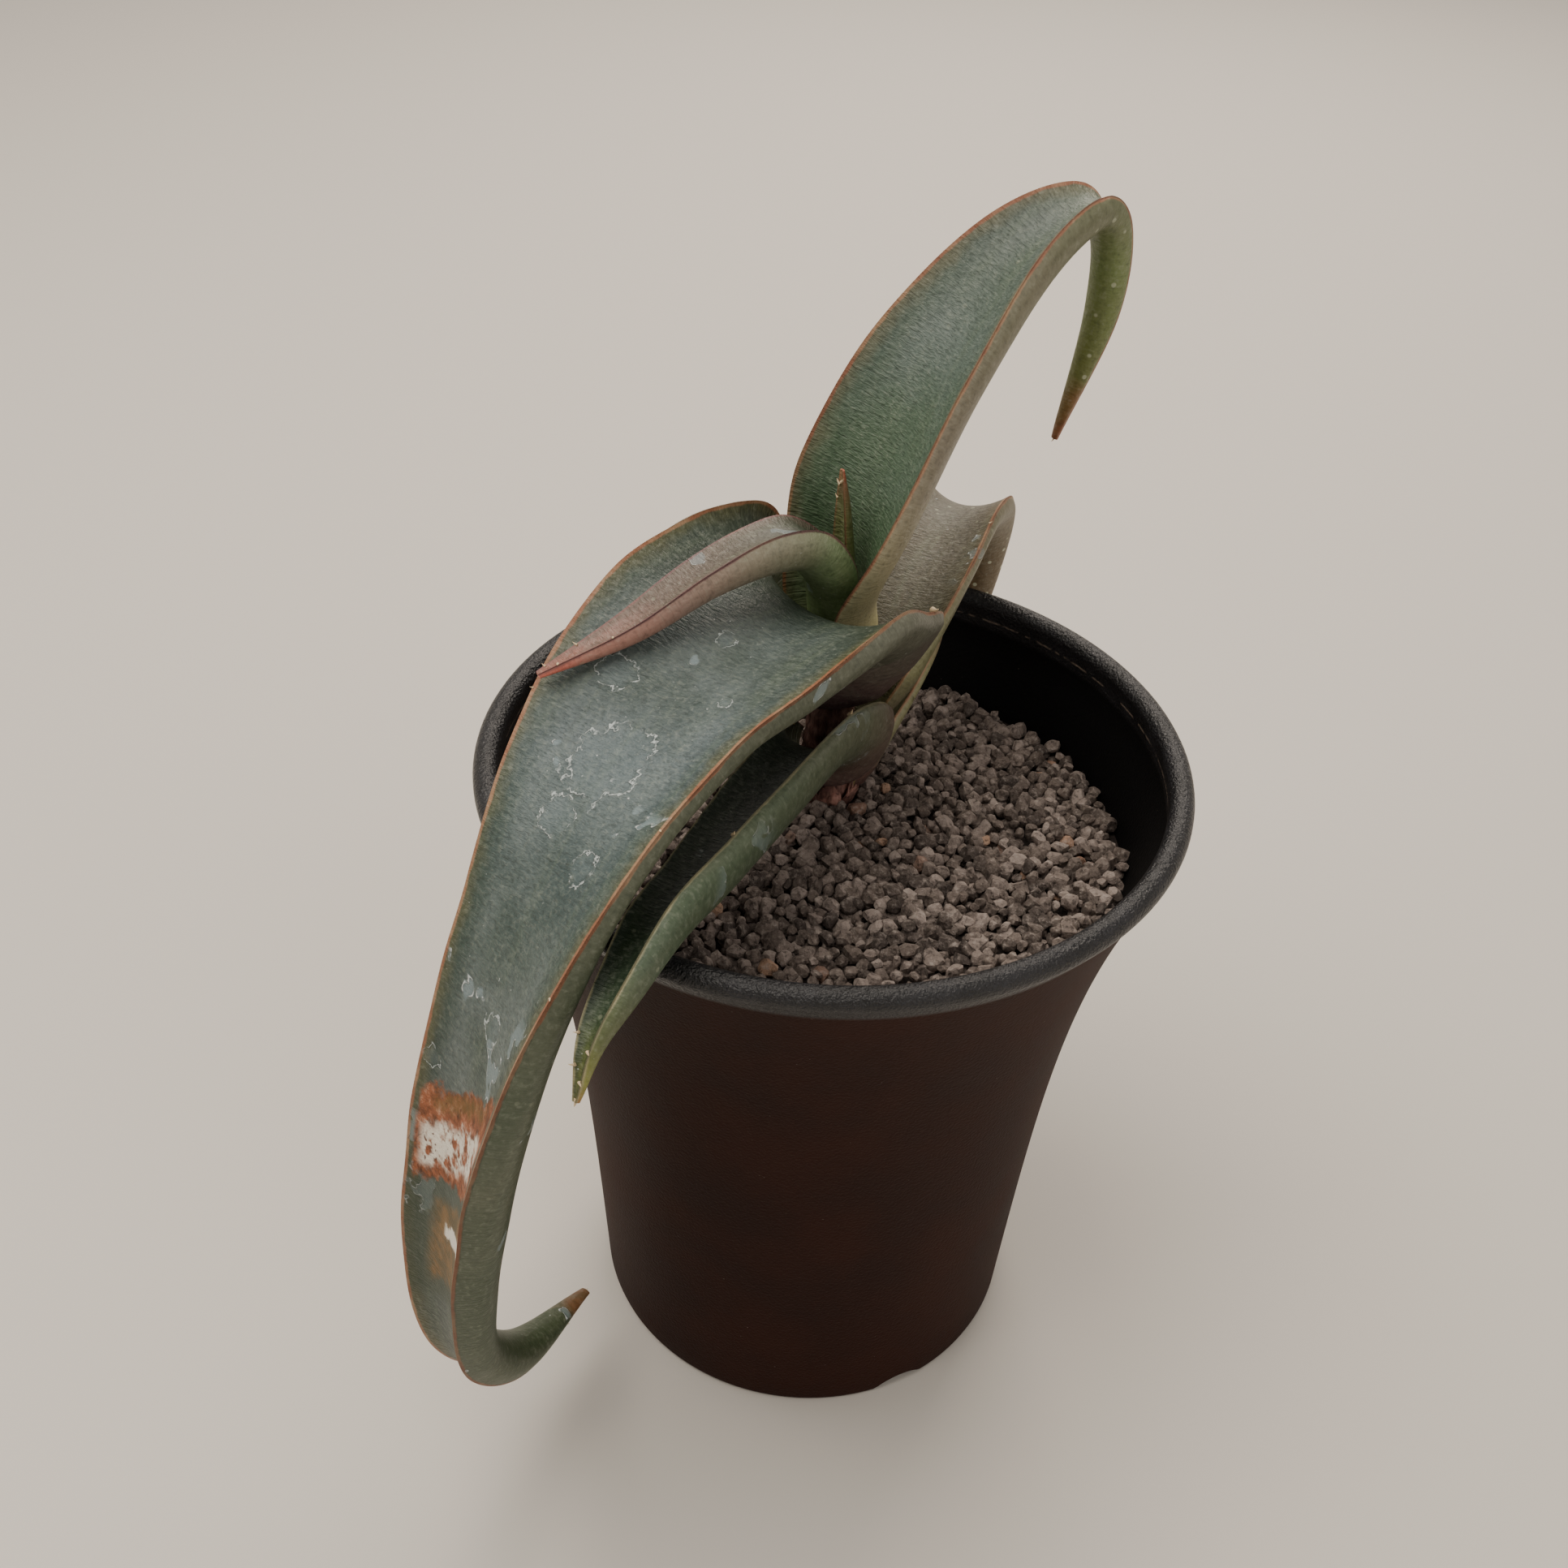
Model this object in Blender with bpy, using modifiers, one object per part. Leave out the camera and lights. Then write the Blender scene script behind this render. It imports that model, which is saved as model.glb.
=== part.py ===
"""Potted aloe: a two-ranked succulent with seven leaves, in gravel, in a flared plastic pot.

Metres, +Z up. The origin is on the surface that the pot stands on, under the middle of the whole
object's outline. The pot's axis and the plant's axis are placed from there. Sizes below are in
millimetres, and MM turns them to metres.
"""
import math

import bmesh
import bpy
from mathutils import Vector

MM = 0.001
OBJECT_NAME = "potted_aloe"

# Places on the ground, in millimetres
POT_AXIS = (2.7, 2.5)
PLANT_FROM_POT = (-1.0, 13.0)

# Pot: a flared body under a rounded lip, a raised floor and a foot ring with water notches
POT_HEIGHT = 128.0
POT_RIM_RADIUS = 60.0
LIP_RADIUS = 2.1
FOOT_RADIUS = 40.9
SIDE_TAPER = 6.8
TOP_FLARE = 10.7
WALL = 1.4
FLOOR_UNDERSIDE = 3.2
FLOOR_THICKNESS = 1.6
FOOT_WIDTH = 2.2
DRAIN_RADIUS = 3.5
DRAIN_RING_RADIUS = 22.0
DRAIN_COUNT = 4
NOTCH_COUNT = 3
NOTCH_WIDTH = 12.0
NOTCH_HEIGHT = 2.6
NOTCH_DIRECTION = math.radians(300.0)
POT_STEPS = 60

# Gravel and stem
GRAVEL_LEVEL = 110.0
GRAVEL_DOME = 0.8
CLEARANCE = 0.35
STEM_FOOT = 98.0
STEM_TOP = 141.0

# Leaf lofts
LEAF_SECTIONS = 30
HALF_SECTION_POINTS = 8
EDGE_THICKNESS = 0.3
TANGENT_REACH = 2

# Each leaf grows in its own upright plane, turned to its direction. A station gives, in order:
# reach from the plant's axis, sideways shift, height, width from margin to margin, roll in degrees,
# depth of the channel, thickness at the midrib, and how round the channel is (1 is a clasping sheath
# that is half an ellipse, 0 is an open gutter). The last station is the tip.
LEAVES = {
    "oldest_right_leaf": (52.0, (
        (0.0, 0.0, 112.2, 11.0, 0, 6.6, 2.0, 1.0),
        (0.6, 0.0, 114.6, 12.0, 0, 6.4, 2.4, 1.0),
        (3.0, 0.0, 118.0, 13.6, 0, 5.2, 2.8, 0.9),
        (8.5, 0.0, 122.0, 13.5, 0, 4.0, 3.0, 0.6),
        (16.0, 0.0, 126.5, 12.0, 0, 2.5, 3.0, 0.3),
        (24.0, 0.0, 131.0, 8.0, 0, 1.5, 2.6, 0.0),
        (31.0, 0.0, 136.0, 1.2, 0, 0.2, 0.9, 0.0),
    )),
    "lower_left_leaf": (249.0, (
        (-2.0, 0.0, 118.4, 11.4, 0, 7.8, 2.2, 1.0),
        (-1.0, 0.5, 122.0, 16.4, 8, 9.5, 2.4, 1.0),
        (4.0, 1.7, 129.0, 19.4, 22, 7.5, 3.0, 0.8),
        (16.0, 3.0, 133.5, 14.5, 30, 5.0, 3.6, 0.3),
        (34.0, 3.0, 135.1, 12.5, 32, 4.5, 4.0, 0.0),
        (54.0, 2.5, 135.9, 10.5, 36, 4.0, 4.0, 0.0),
        (70.0, 1.5, 136.5, 9.5, 36, 3.0, 4.0, 0.0),
        (82.0, 1.5, 132.0, 6.5, 34, 2.0, 3.2, 0.0),
        (89.0, 1.5, 127.0, 3.6, 30, 1.0, 2.2, 0.0),
        (93.0, 2.0, 119.5, 0.8, 24, 0.1, 0.8, 0.0),
    )),
    "folded_right_leaf": (66.0, (
        (-3.0, 0.0, 122.0, 11.4, 0, 8.6, 2.2, 1.0),
        (-2.0, -0.5, 128.0, 15.6, 0, 10.0, 2.4, 1.0),
        (3.0, -1.1, 136.0, 22.4, -6, 10.0, 3.2, 0.8),
        (13.0, -1.5, 142.5, 25.0, -3, 7.0, 4.2, 0.5),
        (27.0, -1.5, 147.0, 24.0, 2, 5.0, 5.0, 0.1),
        (41.0, -1.5, 149.0, 21.0, -3, 4.0, 5.5, 0.0),
        (53.0, -2.0, 145.0, 17.0, -5, 3.0, 5.5, 0.0),
        (60.0, -2.0, 134.0, 13.0, -2, 2.0, 5.0, 0.0),
        (60.0, -2.0, 118.0, 8.0, 0, 1.0, 4.0, 0.0),
        (54.0, -2.0, 99.0, 1.2, 0, 0.2, 0.9, 0.0),
    )),
    "large_left_leaf": (229.0, (
        (-5.0, 0.0, 132.0, 15.5, 0, 13.0, 2.4, 1.0),
        (-5.5, 0.0, 142.0, 28.0, 0, 16.5, 2.8, 1.0),
        (-5.0, 0.5, 152.5, 35.4, 0, 17.0, 3.6, 0.9),
        (0.0, 1.0, 157.5, 37.5, -6, 13.0, 5.0, 0.75),
        (8.0, 1.0, 160.5, 40.0, -3, 9.5, 6.2, 0.5),
        (18.0, 1.0, 160.0, 41.0, -5, 7.0, 7.0, 0.3),
        (31.0, 1.4, 157.0, 41.0, -6, 4.6, 7.4, 0.0),
        (50.0, 4.6, 151.4, 38.0, 3, 3.0, 5.6, 0.0),
        (69.6, 9.4, 140.8, 34.4, 12, 2.2, 5.2, 0.0),
        (84.6, 10.8, 121.4, 30.6, 19, 2.6, 7.6, 0.0),
        (94.0, 8.8, 93.8, 24.4, 18, 3.0, 8.8, 0.0),
        (98.0, 7.0, 63.0, 17.0, 9, 2.5, 8.5, 0.0),
        (95.0, 6.0, 37.0, 9.5, -3, 1.5, 7.5, 0.0),
        (81.0, 3.5, 19.0, 6.0, -6, 0.8, 6.0, 0.0),
        (60.0, -1.0, 16.0, 1.2, -4, 0.2, 1.0, 0.0),
    )),
    "tall_right_leaf": (35.0, (
        (-3.0, 0.0, 134.0, 12.0, 0, 8.5, 2.2, 1.0),
        (-4.0, 1.3, 141.0, 15.6, 0, 9.5, 2.4, 1.0),
        (-4.5, 2.2, 151.0, 18.6, -4, 9.0, 3.0, 0.8),
        (-1.0, -0.3, 167.5, 26.0, 1, 7.0, 4.6, 0.4),
        (11.5, -0.5, 189.0, 24.0, 1, 5.0, 5.4, 0.1),
        (27.5, -0.5, 205.5, 15.5, 0, 3.5, 5.6, 0.0),
        (41.0, -1.5, 211.0, 8.0, -1, 1.8, 5.2, 0.0),
        (48.0, -2.0, 205.0, 6.0, -2, 0.8, 4.6, 0.0),
        (48.5, -2.0, 190.0, 5.0, -1, 0.5, 3.8, 0.0),
        (42.0, -1.0, 168.5, 0.9, 0, 0.1, 0.8, 0.0),
    )),
    "curled_left_leaf": (216.5, (
        (-2.0, 0.0, 137.0, 8.0, 0, 5.2, 2.0, 1.0),
        (-1.7, 0.0, 143.5, 8.2, -8, 4.4, 2.2, 0.9),
        (-1.4, -0.2, 152.0, 9.8, -12, 3.6, 3.2, 0.6),
        (1.2, 0.3, 159.0, 12.5, -4, 2.5, 4.8, 0.3),
        (7.0, -0.3, 164.5, 12.0, 11, 1.5, 6.0, 0.0),
        (16.0, 0.0, 165.6, 10.0, 17, 1.0, 6.0, 0.0),
        (27.5, 0.3, 162.8, 7.5, 10, 0.8, 4.8, 0.0),
        (40.5, 0.4, 157.2, 4.7, 2, 0.5, 3.6, 0.0),
        (55.0, -0.4, 152.2, 1.0, 4, 0.1, 0.9, 0.0),
    )),
    "newest_leaf": (35.0, (
        (0.2, 0.0, 142.0, 5.5, 0, 1.2, 2.0, 0.0),
        (0.0, 0.0, 150.0, 5.0, 0, 1.0, 2.0, 0.0),
        (-0.5, 0.0, 158.0, 3.8, 0, 0.8, 1.8, 0.0),
        (-0.8, 0.0, 166.0, 2.4, 0, 0.5, 1.3, 0.0),
        (-1.0, 0.0, 172.5, 0.6, 0, 0.1, 0.5, 0.0),
    )),
}

# Linear base colour, roughness; nothing on the plant is metal
FINISHES = {
    "pot": ((0.012, 0.009, 0.008), 0.45),
    "gravel": ((0.055, 0.047, 0.042), 0.95),
    "stem": ((0.13, 0.07, 0.06), 0.75),
    "oldest_right_leaf": ((0.19, 0.22, 0.11), 0.5),
    "lower_left_leaf": ((0.045, 0.075, 0.045), 0.45),
    "folded_right_leaf": ((0.11, 0.11, 0.075), 0.48),
    "large_left_leaf": ((0.05, 0.075, 0.065), 0.42),
    "tall_right_leaf": ((0.06, 0.1, 0.08), 0.42),
    "curled_left_leaf": ((0.13, 0.11, 0.095), 0.45),
    "newest_leaf": ((0.07, 0.1, 0.045), 0.5),
}


def clear_scene():
    """Remove every object and collection of the open file."""
    for obj in list(bpy.data.objects):
        bpy.data.objects.remove(obj, do_unlink=True)
    for collection in list(bpy.data.collections):
        bpy.data.collections.remove(collection)


def new_collection(name):
    """A collection linked to the scene."""
    collection = bpy.data.collections.new(name)
    bpy.context.scene.collection.children.link(collection)
    return collection


def finish_material(name):
    """The part's own Principled material, from FINISHES."""
    colour, roughness = FINISHES[name]
    material = bpy.data.materials.new(name)
    material.use_nodes = True
    shader = material.node_tree.nodes["Principled BSDF"]
    shader.inputs["Base Color"].default_value = (*colour, 1.0)
    shader.inputs["Roughness"].default_value = roughness
    shader.inputs["Metallic"].default_value = 0.0
    return material


def add_part(name, mesh, collection, parent):
    """An object for a mesh, with its material, hung on the empty that carries it."""
    obj = bpy.data.objects.new(name, mesh)
    collection.objects.link(obj)
    obj.parent = parent
    mesh.materials.append(finish_material(name))
    return obj


def add_axis(name, place, collection):
    """An empty that stands on the ground at a place given in millimetres."""
    empty = bpy.data.objects.new(name, None)
    empty.location = (place[0] * MM, place[1] * MM, 0.0)
    collection.objects.link(empty)
    return empty


def profile_mesh(name, points):
    """An open outline in the XZ plane, from (radius, height) pairs in millimetres."""
    mesh = bpy.data.meshes.new(name)
    form = bmesh.new()
    verts = [form.verts.new((radius * MM, 0.0, height * MM)) for radius, height in points]
    for start, end in zip(verts, verts[1:]):
        form.edges.new((start, end))
    form.to_mesh(mesh)
    form.free()
    return mesh


def add_turn(obj, steps):
    """Turn an outline about Z. It closes where the outline starts and ends on the axis."""
    screw = obj.modifiers.new("turn", "SCREW")
    screw.steps = steps
    screw.render_steps = steps
    screw.use_merge_vertices = True
    screw.merge_threshold = 0.00001
    screw.use_smooth_shade = True


def add_cut(obj, cutter):
    """Subtract a cutter exactly."""
    cut = obj.modifiers.new("cut_" + cutter.name, "BOOLEAN")
    cut.operation = "DIFFERENCE"
    cut.solver = "EXACT"
    cut.object = cutter


def add_cutter(name, form, collection, parent):
    """A hidden wire object that a part is cut with."""
    mesh = bpy.data.meshes.new(name)
    form.to_mesh(mesh)
    form.free()
    cutter = bpy.data.objects.new(name, mesh)
    cutter.parent = parent
    cutter.hide_render = True
    cutter.display_type = "WIRE"
    collection.objects.link(cutter)
    return cutter


def side_radius(height):
    """Outer radius of the pot's body: a straight taper with a flare that grows towards the lip."""
    share = height / (POT_HEIGHT - 2.0 * LIP_RADIUS)
    return FOOT_RADIUS + SIDE_TAPER * share + TOP_FLARE * share ** 4


def evenly(start, end, count):
    """Count numbers from start to end, both included."""
    return [start + (end - start) * index / (count - 1) for index in range(count)]


def pot_profile():
    """Inside up from the middle of the floor, over the lip, and down the outside to the axis."""
    floor_top = FLOOR_UNDERSIDE + FLOOR_THICKNESS
    lip_height = POT_HEIGHT - LIP_RADIUS
    lip_middle = POT_RIM_RADIUS - LIP_RADIUS
    wall_top = POT_HEIGHT - 2.0 * LIP_RADIUS
    points = [(0.0, floor_top)]
    points += [(side_radius(z) - WALL, z) for z in evenly(floor_top, wall_top - LIP_RADIUS, 8)]
    for angle in evenly(180.0, -90.0, 10):
        turn = math.radians(angle)
        points.append((lip_middle + LIP_RADIUS * math.cos(turn), lip_height + LIP_RADIUS * math.sin(turn)))
    points += [(side_radius(z), z) for z in evenly(wall_top - 1.0, 1.0, 9)]
    points += [
        (FOOT_RADIUS - 0.6, 0.0),
        (FOOT_RADIUS - FOOT_WIDTH, 0.0),
        (FOOT_RADIUS - FOOT_WIDTH - 0.4, FLOOR_UNDERSIDE),
        (0.0, FLOOR_UNDERSIDE),
    ]
    return points


def drain_cutter(collection, parent):
    """Round holes through the floor: one in the middle and a ring of others."""
    form = bmesh.new()
    places = [(0.0, 0.0)]
    for index in range(DRAIN_COUNT):
        angle = math.tau * (index + 0.5) / DRAIN_COUNT
        places.append((DRAIN_RING_RADIUS * math.cos(angle), DRAIN_RING_RADIUS * math.sin(angle)))
    for x, y in places:
        drill = bmesh.ops.create_cone(
            form,
            cap_ends=True,
            segments=16,
            radius1=DRAIN_RADIUS * MM,
            radius2=DRAIN_RADIUS * MM,
            depth=4.0 * FLOOR_THICKNESS * MM,
        )
        middle = FLOOR_UNDERSIDE + FLOOR_THICKNESS / 2.0
        bmesh.ops.translate(form, verts=drill["verts"], vec=Vector((x, y, middle)) * MM)
    return add_cutter("drain_cutter", form, collection, parent)


def notch_cutter(collection, parent):
    """Blocks with chamfered tops that open the foot ring to let water run out."""
    form = bmesh.new()
    for index in range(NOTCH_COUNT):
        block = bmesh.ops.create_cube(form, size=1.0)["verts"]
        for vert in block:
            width = NOTCH_WIDTH * (0.7 if vert.co.z > 0.0 else 1.0)
            vert.co.x = (FOOT_RADIUS + vert.co.x * 4.0 * FOOT_WIDTH) * MM
            vert.co.y = vert.co.y * width * MM
            vert.co.z = (NOTCH_HEIGHT if vert.co.z > 0.0 else -1.0) * MM
        angle = NOTCH_DIRECTION + math.tau * index / NOTCH_COUNT
        for vert in block:
            x = vert.co.x * math.cos(angle) - vert.co.y * math.sin(angle)
            y = vert.co.x * math.sin(angle) + vert.co.y * math.cos(angle)
            vert.co.x = x
            vert.co.y = y
    return add_cutter("notch_cutter", form, collection, parent)


def build_pot(parts, cutters, axis):
    """One thin-walled moulding, drained through its floor and under its foot ring."""
    pot = add_part("pot", profile_mesh("pot", pot_profile()), parts, axis)
    add_turn(pot, POT_STEPS)
    add_cut(pot, drain_cutter(cutters, axis))
    add_cut(pot, notch_cutter(cutters, axis))
    return pot


def stem_radius(height):
    """The stem swells a little where it leaves the gravel and narrows to the growing point."""
    rise = (height - GRAVEL_LEVEL) / 32.0
    return 5.0 - 0.6 * max(rise, 0.0) - 2.6 * rise ** 2


def build_stem(parts, axis):
    """The short stem between the leaf bases, rooted in the gravel."""
    heights = evenly(STEM_TOP, STEM_FOOT, 12)
    points = [(0.0, heights[0])]
    points += [(stem_radius(z), z) for z in heights]
    points.append((0.0, heights[-1]))
    stem = add_part("stem", profile_mesh("stem", points), parts, axis)
    add_turn(stem, 24)
    return stem


def build_gravel(parts, cutters, pot_axis, plant_axis):
    """The gravel that fills the pot, slightly domed, with a socket round the stem."""
    floor_top = FLOOR_UNDERSIDE + FLOOR_THICKNESS + CLEARANCE
    rim = side_radius(GRAVEL_LEVEL) - WALL - CLEARANCE
    points = []
    for radius in evenly(0.0, rim, 8):
        share = radius / rim
        points.append((radius, GRAVEL_LEVEL - GRAVEL_DOME * share ** 2))
    for z in evenly(GRAVEL_LEVEL - 6.0, floor_top, 6):
        points.append((side_radius(z) - WALL - CLEARANCE, z))
    points.append((0.0, floor_top))
    gravel = add_part("gravel", profile_mesh("gravel", points), parts, pot_axis)
    add_turn(gravel, 48)
    socket = bmesh.new()
    bmesh.ops.create_cone(
        socket,
        cap_ends=True,
        segments=24,
        radius1=5.6 * MM,
        radius2=5.6 * MM,
        depth=30.0 * MM,
    )
    bmesh.ops.translate(socket, verts=socket.verts, vec=(0.0, 0.0, (STEM_FOOT - CLEARANCE + 15.0) * MM))
    add_cut(gravel, add_cutter("socket_cutter", socket, cutters, plant_axis))
    return gravel


def through_stations(stations, count):
    """Catmull-Rom curve through the stations, all their values together."""
    first = [2.0 * a - b for a, b in zip(stations[0], stations[1])]
    last = [2.0 * a - b for a, b in zip(stations[-1], stations[-2])]
    knots = [first, *stations, last]
    rows = []
    for place in evenly(0.0, len(stations) - 1.0, count):
        span = min(int(place), len(stations) - 2)
        t = place - span
        row = []
        for a, b, c, d in zip(*knots[span:span + 4]):
            row.append(0.5 * (
                2.0 * b + (c - a) * t
                + (2.0 * a - 5.0 * b + 4.0 * c - d) * t ** 2
                + (3.0 * b - a - 3.0 * c + d) * t ** 3
            ))
        rows.append(row)
    return rows


def channel_point(angle, width, depth, roundness):
    """A point of the upper face in its section: across, and down from the chord."""
    across = 0.5 * width * math.sin(angle)
    down = depth * max(math.cos(angle), 0.0) ** (2.0 - roundness)
    return across, down


def leaf_section(width, depth, thickness, roundness):
    """Upper face from margin to margin, and the lower face at the same places."""
    upper = []
    lower = []
    nudge = 0.01
    limit = math.pi / 2.0
    for angle in evenly(-limit, limit, HALF_SECTION_POINTS):
        here = channel_point(angle, width, depth, roundness)
        before = channel_point(max(angle - nudge, -limit), width, depth, roundness)
        after = channel_point(min(angle + nudge, limit), width, depth, roundness)
        run = Vector((after[0] - before[0], after[1] - before[1])).normalized()
        bulge = thickness * max(math.cos(angle), 0.0)
        upper.append(here)
        lower.append((here[0] - run.y * bulge, here[1] + run.x * bulge))
    return upper, lower


def leaf_rings(stations):
    """Closed rings along the leaf, in its own upright plane, in millimetres."""
    rows = through_stations(stations, LEAF_SECTIONS)
    centres = [Vector(row[:3]) for row in rows]
    rings = []
    for index, row in enumerate(rows):
        ahead = centres[min(index + TANGENT_REACH, len(rows) - 1)]
        behind = centres[max(index - TANGENT_REACH, 0)]
        along = (ahead - behind).normalized()
        side = Vector((0.0, 1.0, 0.0))
        side = (side - along * side.dot(along)).normalized()
        up = along.cross(side)
        roll = math.radians(row[4])
        across_way = side * math.cos(roll) + up * math.sin(roll)
        up_way = up * math.cos(roll) - side * math.sin(roll)
        width, depth, thickness = (max(row[3], EDGE_THICKNESS), max(row[5], 0.0), max(row[6], EDGE_THICKNESS))
        upper, lower = leaf_section(width, depth, thickness, min(max(row[7], 0.0), 1.0))
        outline = upper + lower[-2:0:-1]
        rings.append([centres[index] + across_way * x - up_way * y for x, y in outline])
    return rings


def close_end(form, ring, outwards):
    """Strip of faces between the upper and lower edges of an end section."""
    last = HALF_SECTION_POINTS - 1
    upper = ring[:HALF_SECTION_POINTS]
    lower = [ring[0]] + ring[:last:-1] + [ring[last]]
    for index in range(last):
        corners = []
        for vert in (upper[index], lower[index], lower[index + 1], upper[index + 1]):
            if vert not in corners:
                corners.append(vert)
        form.faces.new(corners if outwards else corners[::-1])


def leaf_mesh(name, stations):
    """Loft the sections into one closed leaf."""
    form = bmesh.new()
    rings = [[form.verts.new(point * MM) for point in ring] for ring in leaf_rings(stations)]
    count = len(rings[0])
    for ring, following in zip(rings, rings[1:]):
        for index in range(count):
            beside = (index + 1) % count
            form.faces.new((ring[index], ring[beside], following[beside], following[index]))
    close_end(form, rings[0], outwards=True)
    close_end(form, rings[-1], outwards=False)
    bmesh.ops.recalc_face_normals(form, faces=form.faces)
    mesh = bpy.data.meshes.new(name)
    form.to_mesh(mesh)
    form.free()
    mesh.shade_smooth()
    mesh.set_sharp_from_angle(angle=math.radians(50.0))
    return mesh


def build_leaf(name, parts, axis):
    """A leaf in its own plane, turned about the plant's axis to its direction."""
    direction, stations = LEAVES[name]
    leaf = add_part(name, leaf_mesh(name, stations), parts, axis)
    leaf.rotation_euler = (0.0, 0.0, math.radians(direction))
    return leaf


def main():
    """Build the pot, what fills it and the plant."""
    clear_scene()
    parts = new_collection(OBJECT_NAME)
    cutters = new_collection("cutters")
    pot_axis = add_axis("pot_axis", POT_AXIS, parts)
    plant_place = (POT_AXIS[0] + PLANT_FROM_POT[0], POT_AXIS[1] + PLANT_FROM_POT[1])
    plant_axis = add_axis("plant_axis", plant_place, parts)
    build_pot(parts, cutters, pot_axis)
    build_gravel(parts, cutters, pot_axis, plant_axis)
    build_stem(parts, plant_axis)
    for name in LEAVES:
        build_leaf(name, parts, plant_axis)


main()
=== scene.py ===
"""Potted aloe: seven fleshy leaves on a short stem, in grit, in a flared black plastic pot.

Metres, +Z up. Sizes of the plant and the pot are written in millimetres, as they would be measured,
and MM turns them to metres. The lights and the floor are placed in metres.
"""

import logging
import math
import random
from dataclasses import dataclass, field
from enum import Enum
from typing import Any, Iterable, Sequence

import bmesh
import bpy
import numpy as np
from mathutils import Matrix, Vector, noise


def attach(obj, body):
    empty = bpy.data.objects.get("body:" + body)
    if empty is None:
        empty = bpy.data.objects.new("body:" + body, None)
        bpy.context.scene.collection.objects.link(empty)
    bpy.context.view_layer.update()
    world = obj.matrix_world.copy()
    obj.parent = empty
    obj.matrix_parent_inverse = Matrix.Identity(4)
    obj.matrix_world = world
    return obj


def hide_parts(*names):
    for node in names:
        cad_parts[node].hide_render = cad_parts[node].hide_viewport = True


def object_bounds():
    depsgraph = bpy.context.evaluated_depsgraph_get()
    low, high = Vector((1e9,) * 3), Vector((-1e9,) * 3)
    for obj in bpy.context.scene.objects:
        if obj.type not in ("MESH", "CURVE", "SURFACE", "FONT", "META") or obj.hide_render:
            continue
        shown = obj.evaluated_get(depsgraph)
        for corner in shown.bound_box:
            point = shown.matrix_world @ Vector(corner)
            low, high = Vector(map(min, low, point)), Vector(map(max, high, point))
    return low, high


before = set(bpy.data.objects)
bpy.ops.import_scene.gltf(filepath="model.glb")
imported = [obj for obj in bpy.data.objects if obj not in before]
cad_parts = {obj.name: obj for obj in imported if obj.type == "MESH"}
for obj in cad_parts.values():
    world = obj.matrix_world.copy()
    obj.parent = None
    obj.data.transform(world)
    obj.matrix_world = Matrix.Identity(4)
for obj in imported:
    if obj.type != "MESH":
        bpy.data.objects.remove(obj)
CAD_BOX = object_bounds()

LOG = logging.getLogger("potted_aloe")
MM = 0.001
BODY = "root"
POT_AXIS = (2.7, 2.5)
PLANT_AXIS = (1.7, 15.5)
# How far one seed moves a noise along each axis, so that no two noises lie alike
SEED_STEP = (17.3, 9.1, 5.7)

Colour = tuple[float, float, float, float]
Point = tuple[float, float]


def colour(code: str) -> Colour:
    """Turn an sRGB hex code into linear RGBA.

    Args:
        code: Six hex digits, red, green, blue.

    Returns:
        Linear red, green, blue and an alpha of one.
    """
    parts = [int(code[place:place + 2], 16) / 255.0 for place in (0, 2, 4)]
    linear = [part / 12.92 if part <= 0.04045 else ((part + 0.055) / 1.055) ** 2.4 for part in parts]
    return linear[0], linear[1], linear[2], 1.0


def evenly(start: float, end: float, count: int) -> list[float]:
    """Count numbers from start to end, both included."""
    return [start + (end - start) * index / (count - 1) for index in range(count)]


# ---------------------------------------------------------------- materials


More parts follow.
